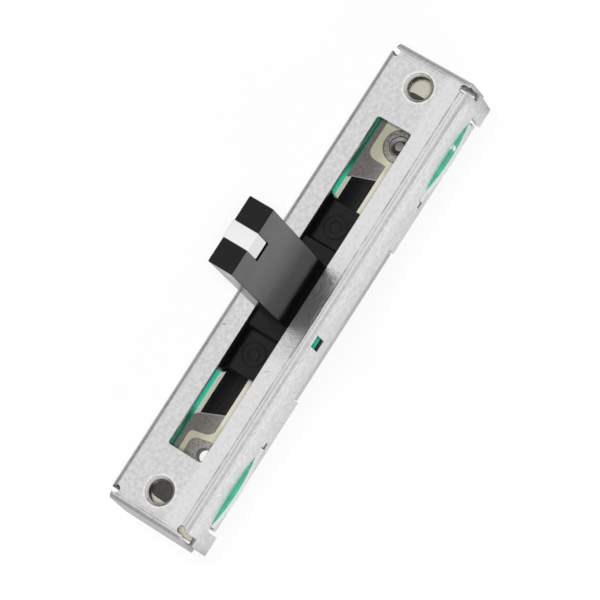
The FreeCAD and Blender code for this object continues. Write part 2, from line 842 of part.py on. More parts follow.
# Solder terminals: stud through the eyelet, flat plate and a blade bent down
plate_depth = board_bottom_depth + d.copper_thickness + d.rivet_head_height
for tag, x, y in terminal_spots:
    turn = 1 if tag == "far" else -1
    terminal = new_body("terminal_" + tag)
    bind(terminal, "Placement.Base.x", x)
    bind(terminal, "Placement.Base.y", y)
    plate = new_sketch(terminal, "XY_Plane", "plate_" + tag, offset=-plate_depth)
    add_circle(plate, ZERO, ZERO, d.terminal_plate_radius)
    pad(terminal, plate, "plate_pad_" + tag, d.terminal_sheet, turned=True)
    blade = new_sketch(terminal, "XZ_Plane", "blade_" + tag)
    tip = -foot_height + d.terminal_tip_above_foot
    add_loop(blade, [
        (ZERO, -plate_depth),
        (d.terminal_reach * turn, -plate_depth),
        (d.terminal_reach * turn, tip),
        ((d.terminal_reach - d.terminal_sheet) * turn, tip),
        ((d.terminal_reach - d.terminal_sheet) * turn, -plate_depth - d.terminal_sheet),
        (ZERO, -plate_depth - d.terminal_sheet),
    ])
    pad(terminal, blade, "blade_pad_" + tag, d.terminal_blade_width, both=True)
    stud = new_sketch(terminal, "XY_Plane", "stud_" + tag, offset=-plate_depth)
    add_circle(stud, ZERO, ZERO, d.rivet_bore_radius - d.rivet_fit_clearance)
    pad(terminal, stud, "stud_pad_" + tag,
        plate_depth - print_top_depth + d.rivet_head_height + d.terminal_stud_height)

    def blade_bend(edge, turn=turn):
        centre = edge.CenterOfMass
        return (runs_along(edge, 1) and near(centre.x * turn, d.terminal_reach)
                and near(-centre.z, plate_depth))

    def blade_tip(edge, turn=turn):
        return runs_along(edge, 0) and near(edge.CenterOfMass.z, tip)

    round_edges(terminal, "blade_bend_" + tag, d.terminal_sheet, blade_bend)
    bevel_edges(terminal, "blade_tip_" + tag, d.terminal_tip_bevel, blade_tip)

# Slider: carriage and lever in one moulding, at rest a little off the middle
slider = new_body("slider")
bind(slider, "Placement.Base.x", d.rest_offset)
side_y = inner_half_width - d.runner_side_clearance
runner_x = inner_half_length - half_travel - d.runner_end_clearance
deck_x = runner_x - d.deck_step
waist_y = side_y - d.waist_step
quarter = [
    (deck_x, d.deck_flare_start),
    (runner_x, d.deck_flare_end),
    (runner_x, side_y),
    (d.runner_start, side_y),
    (d.runner_start, waist_y),
]
plan = list(quarter)
plan += [(-x, y) for x, y in reversed(quarter)]
plan += [(-x, -y) for x, y in quarter]
plan += [(x, -y) for x, y in reversed(quarter)]
deck = new_sketch(slider, "XY_Plane", "deck_plan", offset=-deck_bottom_depth)
add_loop(deck, plan)
pad(slider, deck, "deck", deck_bottom_depth - deck_top_depth)

runners = new_sketch(slider, "XY_Plane", "runner_plan", offset=-deck_top_depth)
for along in (-1, 1):
    for across in (-1, 1):
        add_rectangle(runners, d.runner_start * along, d.runner_inner * across,
                      runner_x * along, side_y * across)
runner_top_depth = d.sheet + d.runner_clearance
pad(slider, runners, "runners", deck_top_depth - runner_top_depth)


def runner_shoulder(edge):
    centre = edge.CenterOfMass
    return runs_along(edge, 0) and near(abs(centre.y), side_y) and near(-centre.z, runner_top_depth)


bevel_edges(slider, "runner_shoulders", d.runner_bevel, runner_shoulder)

block = new_sketch(slider, "XY_Plane", "block_plan", offset=-deck_top_depth)
block_x = d.centre_block_length / 2
add_rectangle(block, -block_x, -d.centre_block_width / 2, block_x, d.centre_block_width / 2)
pad(slider, block, "centre_block", deck_top_depth - centre_block_top_depth)


def block_end(edge):
    centre = edge.CenterOfMass
    return (runs_along(edge, 1) and near(abs(centre.x), block_x)
            and near(-centre.z, centre_block_top_depth))


bevel_edges(slider, "block_ledges", d.block_ledge, block_end)

lever = new_sketch(slider, "XY_Plane", "lever_plan", offset=-deck_top_depth)
lever_x = d.lever_length / 2
lever_y = d.lever_thickness / 2
add_rectangle(lever, -lever_x, -lever_y, lever_x, lever_y)
pad(slider, lever, "lever", deck_top_depth + d.lever_height)


def lever_edge(edge):
    centre = edge.CenterOfMass
    upright = runs_along(edge, 2) and near(abs(centre.x), lever_x) and near(abs(centre.y), lever_y)
    return upright or near(centre.z, d.lever_height)


round_edges(slider, "lever_edges", d.lever_edge_radius, lever_edge)

# Groove for the index mark, over the top and down both faces
groove = new_sketch(slider, "YZ_Plane", "index_groove")
groove_y = lever_y - d.index_groove_depth
groove_foot = d.lever_height - d.index_reach - d.index_gap_below
groove_roof = d.lever_height - d.index_groove_depth
add_loop(groove, [
    (-lever_y - 1, groove_foot),
    (-groove_y, groove_foot),
    (-groove_y, groove_roof),
    (groove_y, groove_roof),
    (groove_y, groove_foot),
    (lever_y + 1, groove_foot),
    (lever_y + 1, d.lever_height + 1),
    (-lever_y - 1, d.lever_height + 1),
])
pocket(slider, groove, "index_groove_cut", d.index_width + d.index_groove_clearance * 2, both=True)

# Cores under the deck keep the moulding at an even thickness
brush_end = d.brush_plate_start + d.brush_plate_length
cores = new_sketch(slider, "XY_Plane", "core_plan", offset=-deck_bottom_depth)
core_y = waist_y - d.core_wall
add_rectangle(cores, -d.core_web_x, -core_y, d.brush_plate_start - d.brush_seat_overlap, core_y)
add_rectangle(cores, -deck_x + d.core_wall, -core_y, -d.core_web_x - d.core_wall, core_y)
pocket(slider, cores, "cores_cut", d.core_depth, turned=True)

# Stakes that hold the brush under the far block
stake_x = d.brush_plate_start + d.brush_plate_length / 2
stakes = new_sketch(slider, "XY_Plane", "stake_plan", offset=-deck_bottom_depth)
heads = new_sketch(slider, "XY_Plane", "stake_head_plan", offset=-deck_bottom_depth - d.brush_sheet)
for side in (-1, 1):
    add_circle(stakes, stake_x, d.stake_spacing / 2 * side, d.stake_radius)
    add_circle(heads, stake_x, d.stake_spacing / 2 * side, d.stake_head_radius)
pad(slider, stakes, "stakes", d.brush_sheet, turned=True)
pad(slider, heads, "stake_heads", d.stake_head_height, turned=True)

# Round moulded marks on both end blocks
marks = new_sketch(slider, "XY_Plane", "mark_plan", offset=-deck_top_depth)
for side in (-1, 1):
    for radius in (d.mark_outer_radius, d.mark_middle_radius):
        add_circle(marks, d.mark_centre * side, ZERO, radius)
        add_circle(marks, d.mark_centre * side, ZERO, radius - d.mark_line)
pad(slider, marks, "moulded_marks", d.mark_height)

# White index mark, bent over the lever's top
index = new_body("index_mark")
bind(index, "Placement.Base.x", d.rest_offset)
saddle = new_sketch(index, "YZ_Plane", "saddle_section")
outer_y = lever_y + d.index_proud
outer_top = d.lever_height + d.index_proud
index_foot = d.lever_height - d.index_reach
add_loop(saddle, [
    (-outer_y, index_foot),
    (-groove_y, index_foot),
    (-groove_y, groove_roof),
    (groove_y, groove_roof),
    (groove_y, index_foot),
    (outer_y, index_foot),
    (outer_y, outer_top),
    (-outer_y, outer_top),
])
pad(index, saddle, "saddle", d.index_width, both=True)


def saddle_corner(edge):
    centre = edge.CenterOfMass
    over_top = runs_along(edge, 0) and near(centre.z, outer_top)
    at_foot = runs_along(edge, 1) and near(centre.z, index_foot)
    return over_top or at_foot


round_edges(index, "saddle_corners", d.index_corner_radius, saddle_corner)

# Contact brush: plate, sloping fingers and upturned tips
brush = new_body("wiper_brush")
bind(brush, "Placement.Base.x", d.rest_offset)
side_view = new_sketch(brush, "XZ_Plane", "brush_section")
plate_z = -deck_bottom_depth
tip_z = -print_top_depth + d.finger_track_clearance
tip_front = -d.finger_tip_x - d.finger_tip_flat / 2
tip_back = -d.finger_tip_x + d.finger_tip_flat / 2
tip_end = tip_front - d.finger_tip_flat
add_loop(side_view, [
    (brush_end, plate_z - d.brush_sheet),
    (d.brush_plate_start, plate_z - d.brush_sheet),
    (tip_back, tip_z),
    (tip_front, tip_z),
    (tip_end, tip_z + d.finger_tip_rise),
    (tip_end, tip_z + d.finger_tip_rise + d.brush_sheet),
    (tip_front, tip_z + d.brush_sheet),
    (tip_back, tip_z + d.brush_sheet),
    (d.brush_plate_start, plate_z),
    (brush_end, plate_z),
])
pad(brush, side_view, "brush_strip", d.brush_width, both=True)

FINGERS_PER_TRACK = 4
slots = new_sketch(brush, "XY_Plane", "finger_slots")
add_rectangle(slots, tip_end - 1, -d.brush_split / 2, d.brush_plate_start, d.brush_split / 2)
finger_pitch = (d.brush_width - d.brush_split) / 2 / FINGERS_PER_TRACK
for side in (-1, 1):
    for count in range(1, FINGERS_PER_TRACK):
        centre_y = d.brush_split / 2 + finger_pitch * count
        add_rectangle(slots, tip_end - 1, (centre_y - d.finger_gap / 2) * side,
                      d.brush_plate_start, (centre_y + d.finger_gap / 2) * side)
pocket(brush, slots, "finger_slots_cut")
stake_holes = new_sketch(brush, "XY_Plane", "stake_holes")
for side in (-1, 1):
    add_circle(stake_holes, stake_x, d.stake_spacing / 2 * side, d.stake_radius + d.stake_hole_clearance)
pocket(brush, stake_holes, "stake_holes_cut")

doc.recompute()

NODES = [
    "top_frame", "circuit_board", "mask_rear", "mask_front", "mask_underside", "lands_underside",
    "carbon_track", "electrode_near", "electrode_far", "collector_pad_near", "collector_track",
    "collector_pad_far", "hole_plating", "eyelets", "terminal_near", "terminal_far", "terminal_wiper",
    "slider", "index_mark", "wiper_brush",
]

faulty = [o.Name for o in doc.Objects if "Invalid" in o.State or "Error" in o.State]
if faulty:
    raise RuntimeError("faulty objects: " + ", ".join(faulty))
for name in NODES:
    node = doc.getObject(name)
    node.Label = name
    if node.Shape.isNull() or not node.Shape.isValid():
        raise RuntimeError(name + " has no sound shape")
for name in NODES:
    node = doc.getObject(name)
    node.Shape.exportStep("parts/%s.step" % name)
    extent = node.Shape.BoundBox
    print("%-20s %2d solid(s) %8.2f mm3  x %7.2f %7.2f  y %6.2f %6.2f  z %6.2f %6.2f" % (
        name, len(node.Shape.Solids), node.Shape.Volume, extent.XMin, extent.XMax,
        extent.YMin, extent.YMax, extent.ZMin, extent.ZMax))
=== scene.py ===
# %% [markdown]
# # A slide potentiometer for a studio picture
# The solids of this control come ready made, in metres, and stay where they are.
# This lesson sets a camera, gives every solid the finish of the real one, makes the
# few shapes that are finer than the solids (a softened index, rolled eyelets and
# turns of thread), and lights it all on a white floor. Every finish is a network of
# shader nodes, so it keeps its detail at any distance and from any side.

import bmesh
import bpy
import numpy as np
from mathutils import Matrix, Vector


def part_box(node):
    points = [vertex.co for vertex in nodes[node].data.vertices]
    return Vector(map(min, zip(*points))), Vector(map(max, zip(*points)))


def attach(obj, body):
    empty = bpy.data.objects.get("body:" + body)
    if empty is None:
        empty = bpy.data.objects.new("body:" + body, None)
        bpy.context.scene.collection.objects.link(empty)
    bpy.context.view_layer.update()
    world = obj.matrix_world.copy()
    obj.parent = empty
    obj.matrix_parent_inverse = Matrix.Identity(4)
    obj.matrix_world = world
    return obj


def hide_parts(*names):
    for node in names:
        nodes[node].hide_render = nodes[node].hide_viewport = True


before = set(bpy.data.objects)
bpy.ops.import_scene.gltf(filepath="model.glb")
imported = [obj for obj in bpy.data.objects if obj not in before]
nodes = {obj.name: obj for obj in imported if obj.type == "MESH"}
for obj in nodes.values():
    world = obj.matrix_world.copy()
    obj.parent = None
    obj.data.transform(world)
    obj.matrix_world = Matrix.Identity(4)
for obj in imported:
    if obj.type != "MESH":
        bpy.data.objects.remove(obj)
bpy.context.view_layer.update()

MM = 0.001

# %% [markdown]
# ## Camera
# The picture was taken from well above, a little from the front, and with the
# control lying slantwise in the frame. A camera can be turned by hand until it looks
# right, but here it has to match, so one lens was fitted to the two mounting holes,
# the slot, the feet and the lever of the real object. What came out is a place and
# three directions: where the picture's right, its down and its depth point.

# %% Set the camera
EYE = Vector((-28.561, -114.842, 313.226)) * MM  # place of the lens
RIGHT = Vector((0.53798, -0.80524, -0.24932))
DOWN = Vector((-0.83857, -0.48113, -0.25555))
FORWARD = Vector((0.08583, 0.34656, -0.93409))
FOCAL_PIXELS = 3426.72  # depth at which one millimetre is one pixel wide, in millimetres
PICTURE_PIXELS = 600
SENSOR_MM = 36.0

camera_data = bpy.data.cameras.new("studio_camera")
camera_data.sensor_width = SENSOR_MM
camera_data.lens = FOCAL_PIXELS / PICTURE_PIXELS * SENSOR_MM
camera_data.clip_start = 0.01
camera = bpy.data.objects.new("studio_camera", camera_data)
bpy.context.scene.collection.objects.link(camera)
turn = Matrix((RIGHT, -DOWN, -FORWARD)).transposed()
camera.matrix_world = Matrix.Translation(EYE) @ turn.to_4x4()
bpy.context.scene.camera = camera
print("lens", round(camera_data.lens, 1), "mm")

# %% [markdown]
# ## Helpers for shader nodes
# A finish is a small network of nodes. Nodes can be joined by hand in the editor; in
# a script each one takes several lines. `add_node` makes one node, sets its values
# and joins its inputs, so that a network reads as a short list. The small helpers
# after it are the single steps of arithmetic that come back everywhere.

# %% Nodes and numbers


def fill_sockets(tree, node, inputs):
    """Give each input a value, or join it to another node's socket."""
    for key, value in inputs.items():
        if isinstance(value, bpy.types.NodeSocket):
            tree.links.new(value, node.inputs[key])
        else:
            node.inputs[key].default_value = value


def add_node(tree, kind, inputs=None, **settings):
    """Add one shader node with its settings and inputs."""
    node = tree.nodes.new(kind)
    for name, value in settings.items():
        setattr(node, name, value)
    fill_sockets(tree, node, inputs or {})
    return node


def math_node(tree, operation, one, other=0.0):
    """One step of arithmetic on two numbers or sockets."""
    return add_node(tree, "ShaderNodeMath", {0: one, 1: other}, operation=operation).outputs[0]


def absolute(tree, value):
    """The number without its sign."""
    return math_node(tree, "ABSOLUTE", value)


def plus(tree, one, other):
    """Sum of two numbers or sockets."""
    return math_node(tree, "ADD", one, other)


def minus(tree, one, other):
    """The first number or socket less the second."""
    return math_node(tree, "SUBTRACT", one, other)


def times(tree, *factors):
    """Product of numbers or sockets."""
    product = factors[0]
    for factor in factors[1:]:
        product = math_node(tree, "MULTIPLY", product, factor)
    return product


def largest(tree, *values):
    """The largest of some numbers or sockets."""
    found = values[0]
    for value in values[1:]:
        found = math_node(tree, "MAXIMUM", found, value)
    return found


# %% [markdown]
# ### Masks
# A mask is a number from 0 to 1 that says where something shows: a stain, a line, a
# worn edge. It could be painted, but here each one is worked out from the place on
# the object, in millimetres. `spread` makes a soft step, `band` a soft line, `reach`
# measures round an upright hole, and `slanted_mark` is a short line through a spot.

# %% Masks from the place on the object


def millimetres(tree):
    """Object coordinates in millimetres."""
    place = add_node(tree, "ShaderNodeTexCoord").outputs["Object"]
    return add_node(tree, "ShaderNodeMapping", {"Vector": place, "Scale": [1 / MM] * 3}).outputs[0]


def place_xyz(tree):
    """The three Object coordinates as numbers in millimetres."""
    return add_node(tree, "ShaderNodeSeparateXYZ", {0: millimetres(tree)}).outputs


def spread(tree, value, low, high, start=0.0, end=1.0):
    """Carry a number smoothly from low..high over to start..end, held at both ends."""
    return add_node(tree, "ShaderNodeMapRange", {0: value, 1: low, 2: high, 3: start, 4: end},
                    interpolation_type="SMOOTHSTEP").outputs[0]


def band(tree, value, centre, half_width):
    """1 in the middle of a band of values, falling to 0 at its edges."""
    return spread(tree, absolute(tree, minus(tree, value, centre)), 0.0, half_width, 1.0, 0.0)


def reach(tree, x, y, centre_x):
    """Distance from an upright axis that stands at centre_x on the middle line."""
    away = add_node(tree, "ShaderNodeCombineXYZ", {0: minus(tree, x, centre_x), 1: y}).outputs[0]
    return add_node(tree, "ShaderNodeVectorMath", {0: away}, operation="LENGTH").outputs["Value"]


def slanted_mark(tree, x, y, spot, lean, half_width, half_length):
    """Short mark through a spot: a band round the line x = lean y, cut off along y."""
    off_line = minus(tree, x, times(tree, y, lean))
    return times(tree, band(tree, off_line, spot[0] - lean * spot[1], half_width),
                 band(tree, y, spot[1], half_length))


# %% [markdown]
# ### Colours and materials
# Colours are written as they would be read off a picture, 0 to 255, and turned into
# the linear numbers that a shader works with. A finish is then built like real paint:
# first the ground colour, and over it one layer after another, each through its mask.

# %% Colours and materials


def from_srgb(red, green, blue):
    """Turn a colour written as 0 to 255 into the linear numbers that a shader takes."""
    levels = np.array((red, green, blue)) / 255.0
    linear = np.where(levels <= 0.04045, levels / 12.92, ((levels + 0.055) / 1.055) ** 2.4)
    return (*linear.tolist(), 1.0)


def blend_colours(tree, share, *pair):
    """Blend two colours, sockets or 0 to 255, by a share from 0 to 1."""
    one, other = (colour if isinstance(colour, bpy.types.NodeSocket) else from_srgb(*colour)
                  for colour in pair)
    node = add_node(tree, "ShaderNodeMix", data_type="RGBA")
    fill_sockets(tree, node, {0: share, 6: one, 7: other})
    return node.outputs[2]


def lay_over(tree, ground, layer, *shares):
    """Lay a colour over the ground, as strongly as the product of its masks."""
    return blend_colours(tree, times(tree, *shares), ground, layer)


def new_finish(name, **values):
    """Start a material and return it with its node tree and its Principled shader."""
    material = bpy.data.materials.new(name)
    material.use_nodes = True
    shader = material.node_tree.nodes["Principled BSDF"]
    for key, value in values.items():
        shader.inputs[key.replace("_", " ")].default_value = value
    return material, material.node_tree, shader


def dress(material, *names):
    """Give the named solids a finish."""
    for name in names:
        nodes[name].material_slots[0].material = material
    print(material.name, "on", ", ".join(names))


# %% [markdown]
# ### Surface
# Fine relief doesn't need real geometry. A Bump node tilts the normal by the slope
# of a height, given here in millimetres, and several can be laid over each other.
# `soft_edges` rounds sharp edges in the same way, so that each one catches a thin
# line of light, as a real edge does.

# %% Noise, bumps and soft edges


def noise(tree, place, scale, detail=3.0, roughness=0.5):
    """A cloud of values round one half."""
    return add_node(tree, "ShaderNodeTexNoise", {
        "Vector": place, "Scale": scale, "Detail": detail, "Roughness": roughness}).outputs[0]


def drawn_out_noise(tree, per_mm, detail=3.0, roughness=0.5):
    """Noise with its own number of grains to the millimetre along x, y and z."""
    place = add_node(tree, "ShaderNodeMapping", {"Vector": millimetres(tree), "Scale": per_mm})
    return noise(tree, place.outputs[0], 1.0, detail, roughness)


def add_bump(tree, height, distance_mm, strength=1.0, before=None):
    """A Bump node whose height is in millimetres, laid over an earlier normal."""
    inputs = {"Height": height, "Distance": distance_mm * MM, "Strength": strength}
    if before is not None:
        inputs["Normal"] = before
    return add_node(tree, "ShaderNodeBump", inputs).outputs[0]


def soft_edges(tree, radius_mm):
    """Normals of edges rounded over a small radius."""
    return add_node(tree, "ShaderNodeBevel", {"Radius": radius_mm * MM}, samples=6).outputs[0]


# %% [markdown]
# ## Shared effects
# Real surfaces are never quite even. Three effects come back in several finishes:
# cloudy grain, hairline scratches and small pits. Pictures of them would have one
# size and show seams, so each is a node group. A group is built once, has named
# inputs, and is placed in each material with that material's own values.

# %% Group helpers


def new_group(name, inputs, outputs):
    """Start a node group, and return it with its input sockets and its output node."""
    group = bpy.data.node_groups.new(name, "ShaderNodeTree")
    for label, start in inputs:
        socket = group.interface.new_socket(label, in_out="INPUT", socket_type="NodeSocketFloat")
        socket.default_value = start
    for label in outputs:
        group.interface.new_socket(label, in_out="OUTPUT", socket_type="NodeSocketFloat")
    return group, group.nodes.new("NodeGroupInput").outputs, group.nodes.new("NodeGroupOutput")


def place_group(tree, group, **values):
    """Put a group into a material with its own values, and return its outputs."""
    node = add_node(tree, "ShaderNodeGroup", node_tree=group)
    for key, value in values.items():
        node.inputs[key.replace("_", " ")].default_value = value
    return node.outputs


# %% [markdown]
# ### Grain
# Plating, ink, laminate and mouldings all show a fine cloudy unevenness. Noise with
# several layers of detail gives it. `Mask` is the fine grain, for colour and relief,
# and `Cloud` changes slowly, once in about three millimetres, for a gloss that is
# not the same everywhere.

# %% Group: grain

CLOUDS_PER_MM = 0.35

grain_group, given, result = new_group(
    "grain", [("Grains per mm", 4.0), ("Roughness", 0.6)], ["Mask", "Cloud"])
place = millimetres(grain_group)
fill_sockets(grain_group, result, {
    "Mask": noise(grain_group, place, given["Grains per mm"], 4.0, given["Roughness"]),
    "Cloud": noise(grain_group, place, CLOUDS_PER_MM)})
print("grain group with", len(grain_group.nodes), "nodes")

# %% [markdown]
# ### Hairline scratches
# Rolling, wiping and handling leave thin scratches along a piece. The same noise
# turns into lines when it changes slowly along x and fast across it. Only its highest
# values count, which keeps most of the surface clean. `Share` says where they begin.

# %% Group: hairline scratches

scratch_group, given, result = new_group(
    "scratches", [("Along per mm", 0.25), ("Across per mm", 9.0), ("Share", 0.5)], ["Mask"])
scale = add_node(scratch_group, "ShaderNodeCombineXYZ", {
    0: given["Along per mm"], 1: given["Across per mm"], 2: given["Across per mm"]}).outputs[0]
stretched = add_node(scratch_group, "ShaderNodeVectorMath", {
    0: millimetres(scratch_group), 1: scale}, operation="MULTIPLY").outputs[0]
streaks = noise(scratch_group, stretched, 1.0, 2.0)
full_from = plus(scratch_group, given["Share"], 0.12)
fill_sockets(scratch_group, result, {
    "Mask": spread(scratch_group, streaks, given["Share"], full_from)})
print("scratch group with", len(scratch_group.nodes), "nodes")

# %% [markdown]
# ### Pits
# Bright plating has a few small dark pits, and coarse silver paste has many. A cell
# pattern puts one point into every cell, and the distance from it makes a round spot.
# A slow noise picks the cells that keep theirs, so that the pits lie in loose groups
# and never in rows.

# %% Group: pits

pit_group, given, result = new_group("pits", [("Pits per mm", 1.5), ("Size", 0.12)], ["Mask"])
place = millimetres(pit_group)
cell = add_node(pit_group, "ShaderNodeTexVoronoi", {"Vector": place, "Scale": given["Pits per mm"]})
chosen = math_node(pit_group, "GREATER_THAN", noise(pit_group, place, 0.9, 1.0), 0.56)
spot = spread(pit_group, cell.outputs["Distance"], 0.0, given["Size"], 1.0, 0.0)
fill_sockets(pit_group, result, {"Mask": times(pit_group, spot, chosen)})
print("pit group with", len(pit_group.nodes), "nodes")

# %% [markdown]
# ## Plated sheet steel
# The frame is one folded sheet with bright plating. It mirrors softly and is slightly
# mottled. An even metal would look like plastic foil; what makes it look pressed is
# its marks. They all follow from the place on the sheet, so the zones come first:
# the flat plate, the two walls, and the front and the rear half.

# %% Steel: zones of the folded sheet

HALF_LENGTH, HALF_WIDTH, PLATE_TOP = (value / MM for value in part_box("top_frame")[1])
BEND_RADIUS = 0.88  # outer radius of the two long bends
BEND_START = HALF_WIDTH - BEND_RADIUS

steel, tree, shader = new_finish("plated_steel", Metallic=1.0)
x, y, z = place_xyz(tree)
along, across = absolute(tree, x), absolute(tree, y)
on_plate = spread(tree, z, PLATE_TOP - 0.2, PLATE_TOP - 0.05)
on_wall = spread(tree, across, HALF_WIDTH - 0.15, HALF_WIDTH - 0.02)
at_front = spread(tree, y, 0.1, -0.1)
at_rear = spread(tree, y, -0.1, 0.1)
grain = place_group(tree, grain_group, Grains_per_mm=2.2, Roughness=0.66)
fine_grain = place_group(tree, grain_group, Grains_per_mm=7.0, Roughness=0.7)
print("sheet", round(2 * HALF_LENGTH, 2), "x", round(2 * HALF_WIDTH, 2), "x", round(PLATE_TOP, 2), "mm")

# %% [markdown]
# ### Lines of the press, and painted shade on the bends
# The tool leaves a thin dark line where a bend starts and another where it ends. Cut
# as real grooves they would be far too deep, so they are bands of colour with a
# trace of relief. The front bend has them sharp. The rear bend has a faint line and a
# wide dark band on its outside, painted shade where it mirrors shaded paper, and the
# end flaps have two fine dark lines, painted shade where the bends turn away from the
# light. A drawn-out noise wears them away in places.

# %% Steel: lines of the press and painted shade on the bends

BEND_CROWN = PLATE_TOP - 0.5  # height of the line on the outside of a long bend
FLAP_BEND = HALF_LENGTH - 0.93  # where the end flaps turn down
FLAP_BEND_INNER = HALF_LENGTH - 1.2
RELIEF_START, RELIEF_END = 24.3, 24.9  # the round corner holes that end the long bends

front_lines = largest(
    tree,
    times(tree, band(tree, across, BEND_START, 0.16), on_plate),
    times(tree, band(tree, z, PLATE_TOP - BEND_RADIUS, 0.2), on_wall, 0.7),
    times(tree, band(tree, z, BEND_CROWN, 0.12),
          spread(tree, across, HALF_WIDTH - 0.4, HALF_WIDTH - 0.3), 0.2))
# Painted shade on the rear bend, with a faint line where it starts.
rear_line_and_shade = largest(
    tree,
    times(tree, band(tree, across, BEND_START + 0.3, 0.16), on_plate, 0.35),
    times(tree, band(tree, z, BEND_CROWN, 0.36),
          spread(tree, across, BEND_START + 0.3, BEND_START + 0.6), 0.3))
# Painted shade on the end bends.
end_bend_shade = largest(
    tree,
    times(tree, band(tree, along, FLAP_BEND, 0.13), on_plate, 0.8),
    times(tree, band(tree, along, FLAP_BEND_INNER, 0.1), on_plate, 0.35))

worn = drawn_out_noise(tree, (0.55, 0.12, 0.12), 5.0, 0.7)
before_relief = spread(tree, along, RELIEF_START, RELIEF_END, 1.0, 0.0)
between_bends = spread(tree, across, 3.9, 4.2, 1.0, 0.0)
# The front press lines and the painted shade on the rear and end bends.
lines = largest(
    tree,
    times(tree, front_lines, at_front, spread(tree, worn, 0.36, 0.6, 0.35, 1.0), before_relief),
    times(tree, rear_line_and_shade, at_rear, spread(tree, worn, 0.3, 0.6, 0.55, 1.0)),
    times(tree, end_bend_shade, spread(tree, grain["Cloud"], 0.4, 0.6, 0.4, 1.0), between_bends))
print("bend lines", round(BEND_START, 2), "mm from the middle")

# %% [markdown]
# ### Drawn holes
# The collars of the two fixing holes are drawn down through the sheet. That pulls
# the plate into a shallow dish, polishes a bright ring round the mouth, and leaves
# the pale cut metal of the bore below it. All three depend only on the distance from
# the hole's axis, and both holes share them, because x is taken without its sign.

# %% Steel: drawn holes

HOLE_X = 23.0  # from the middle
BORE_RADIUS = 1.25  # before the thread is cut
MOUTH_RADIUS = 1.5  # where the drawn mouth meets the flat plate
CUT_DEPTH = 1.5  # how far down the pale cut metal reaches

radius = reach(tree, along, y, HOLE_X)
dish = times(tree, spread(tree, radius, MOUTH_RADIUS, MOUTH_RADIUS + 0.6, 1.0, 0.0), on_plate)
ring = times(tree, band(tree, radius, MOUTH_RADIUS + 0.1, 0.17), on_plate,
             spread(tree, grain["Mask"], 0.35, 0.6, 0.3, 1.0))
cut = times(tree, spread(tree, radius, MOUTH_RADIUS - 0.02, MOUTH_RADIUS - 0.1),
            spread(tree, z, PLATE_TOP - CUT_DEPTH, PLATE_TOP - CUT_DEPTH + 0.1))
print("holes", 2 * HOLE_X, "mm apart")

# %% [markdown]
# ### Flaps, tabs, nicks, and painted light and shade
# The end flaps and the crimp tabs along the lower edge are painted darker than the
# rest, as painted shade: the flaps mirror shaded paper and the tabs turn away from the
# light. The outside of the front bend gets a painted highlight, a pale band, and the
# strip of plate in front of the slot is a shade paler. Three nicks in the plate are
# large enough to be seen one by one, so each has its place, its lean and its depth of
# colour.

# %% Steel: flaps, tabs, nicks and painted light

FLAP_TOP = 7.7
TAB_TOP, TAB_HALF_LENGTH = 2.75, 8.45
NICK_HALF_WIDTH, NICK_HALF_LENGTH = 0.09, 0.34
NICKS = [((-6.2, 3.68), -0.44, 0.9), ((-8.0, -2.6), -0.82, 0.7), ((2.4, -3.45), -0.3, 0.6)]

# Painted shade on the end flaps and the crimp tabs.
painted_flap_shade = times(tree, spread(tree, along, HALF_LENGTH - 0.75, HALF_LENGTH - 0.3),
             spread(tree, z, FLAP_TOP, FLAP_TOP - 0.3))
painted_tab_shade = times(tree, spread(tree, z, TAB_TOP + 0.05, TAB_TOP - 0.1), spread(tree, across, 3.9, 4.1),
            spread(tree, along, TAB_HALF_LENGTH + 0.15, TAB_HALF_LENGTH))
front_strip = times(tree, spread(tree, y, -1.6, -2.2), on_plate,
                    spread(tree, grain["Mask"], 0.3, 0.6, 0.5, 1.0))
# Painted highlight: a pale band along the outside of the front bend.
painted_bend_highlight = times(tree, band(tree, across, BEND_START + 0.32, 0.45),
                  spread(tree, z, PLATE_TOP - 0.4, PLATE_TOP - 0.25), at_front)
pits = place_group(tree, pit_group, Pits_per_mm=0.9, Size=0.07)["Mask"]
print(len(NICKS), "nicks")

# %% [markdown]
# ### Colour of the steel
# The ground is a pale neutral grey that the grain carries between two levels. The
# marks are laid over it from the widest to the smallest, so that a line stays sharp
# on top of a stain. The last number of a layer says how strong it is at most.

# %% Steel: colour

colour = blend_colours(tree, spread(tree, grain["Mask"], 0.35, 0.65), (214, 213, 213), (232, 231, 231))
colour = lay_over(tree, colour, (194, 193, 192), spread(tree, fine_grain["Mask"], 0.52, 0.68), 0.3)
colour = lay_over(tree, colour, (235, 234, 234), front_strip)
# Painted highlight along the front bend.
colour = lay_over(tree, colour, (255, 254, 253), painted_bend_highlight, 0.6)
colour = lay_over(tree, colour, (110, 109, 108), pits, 0.55)
for spot, lean, depth in NICKS:
    nick = slanted_mark(tree, x, y, spot, lean, NICK_HALF_WIDTH, NICK_HALF_LENGTH)
    colour = lay_over(tree, colour, (96, 95, 94), nick, on_plate, depth)
# Painted shade: the end flaps and the crimp tabs are darker, the tabs more so towards +x.
colour = lay_over(tree, colour, (198, 197, 196), painted_flap_shade, 0.8)
colour = lay_over(tree, colour, (176, 177, 176), painted_tab_shade, spread(tree, x, -8.0, 6.0, 0.55, 1.0))
# Dark press lines, and painted shade on the rear and end bends.
colour = lay_over(tree, colour, (128, 126, 125), lines, 0.7)
colour = lay_over(tree, colour, (252, 251, 250), ring, 0.9)
colour = lay_over(tree, colour, (222, 220, 215), cut, 0.9)
fill_sockets(tree, shader, {"Base Color": colour})
print("steel with", len(tree.nodes), "nodes so far")

# %% [markdown]
# ### Surface of the steel
# The plate mirrors a little more sharply than the walls. Its relief has four layers,
# each with its own depth in millimetres: the dish and the press lines, the wide grain
# of the rolled sheet, the fine grain of the plating, and the hairlines.

# %% Steel: gloss and relief

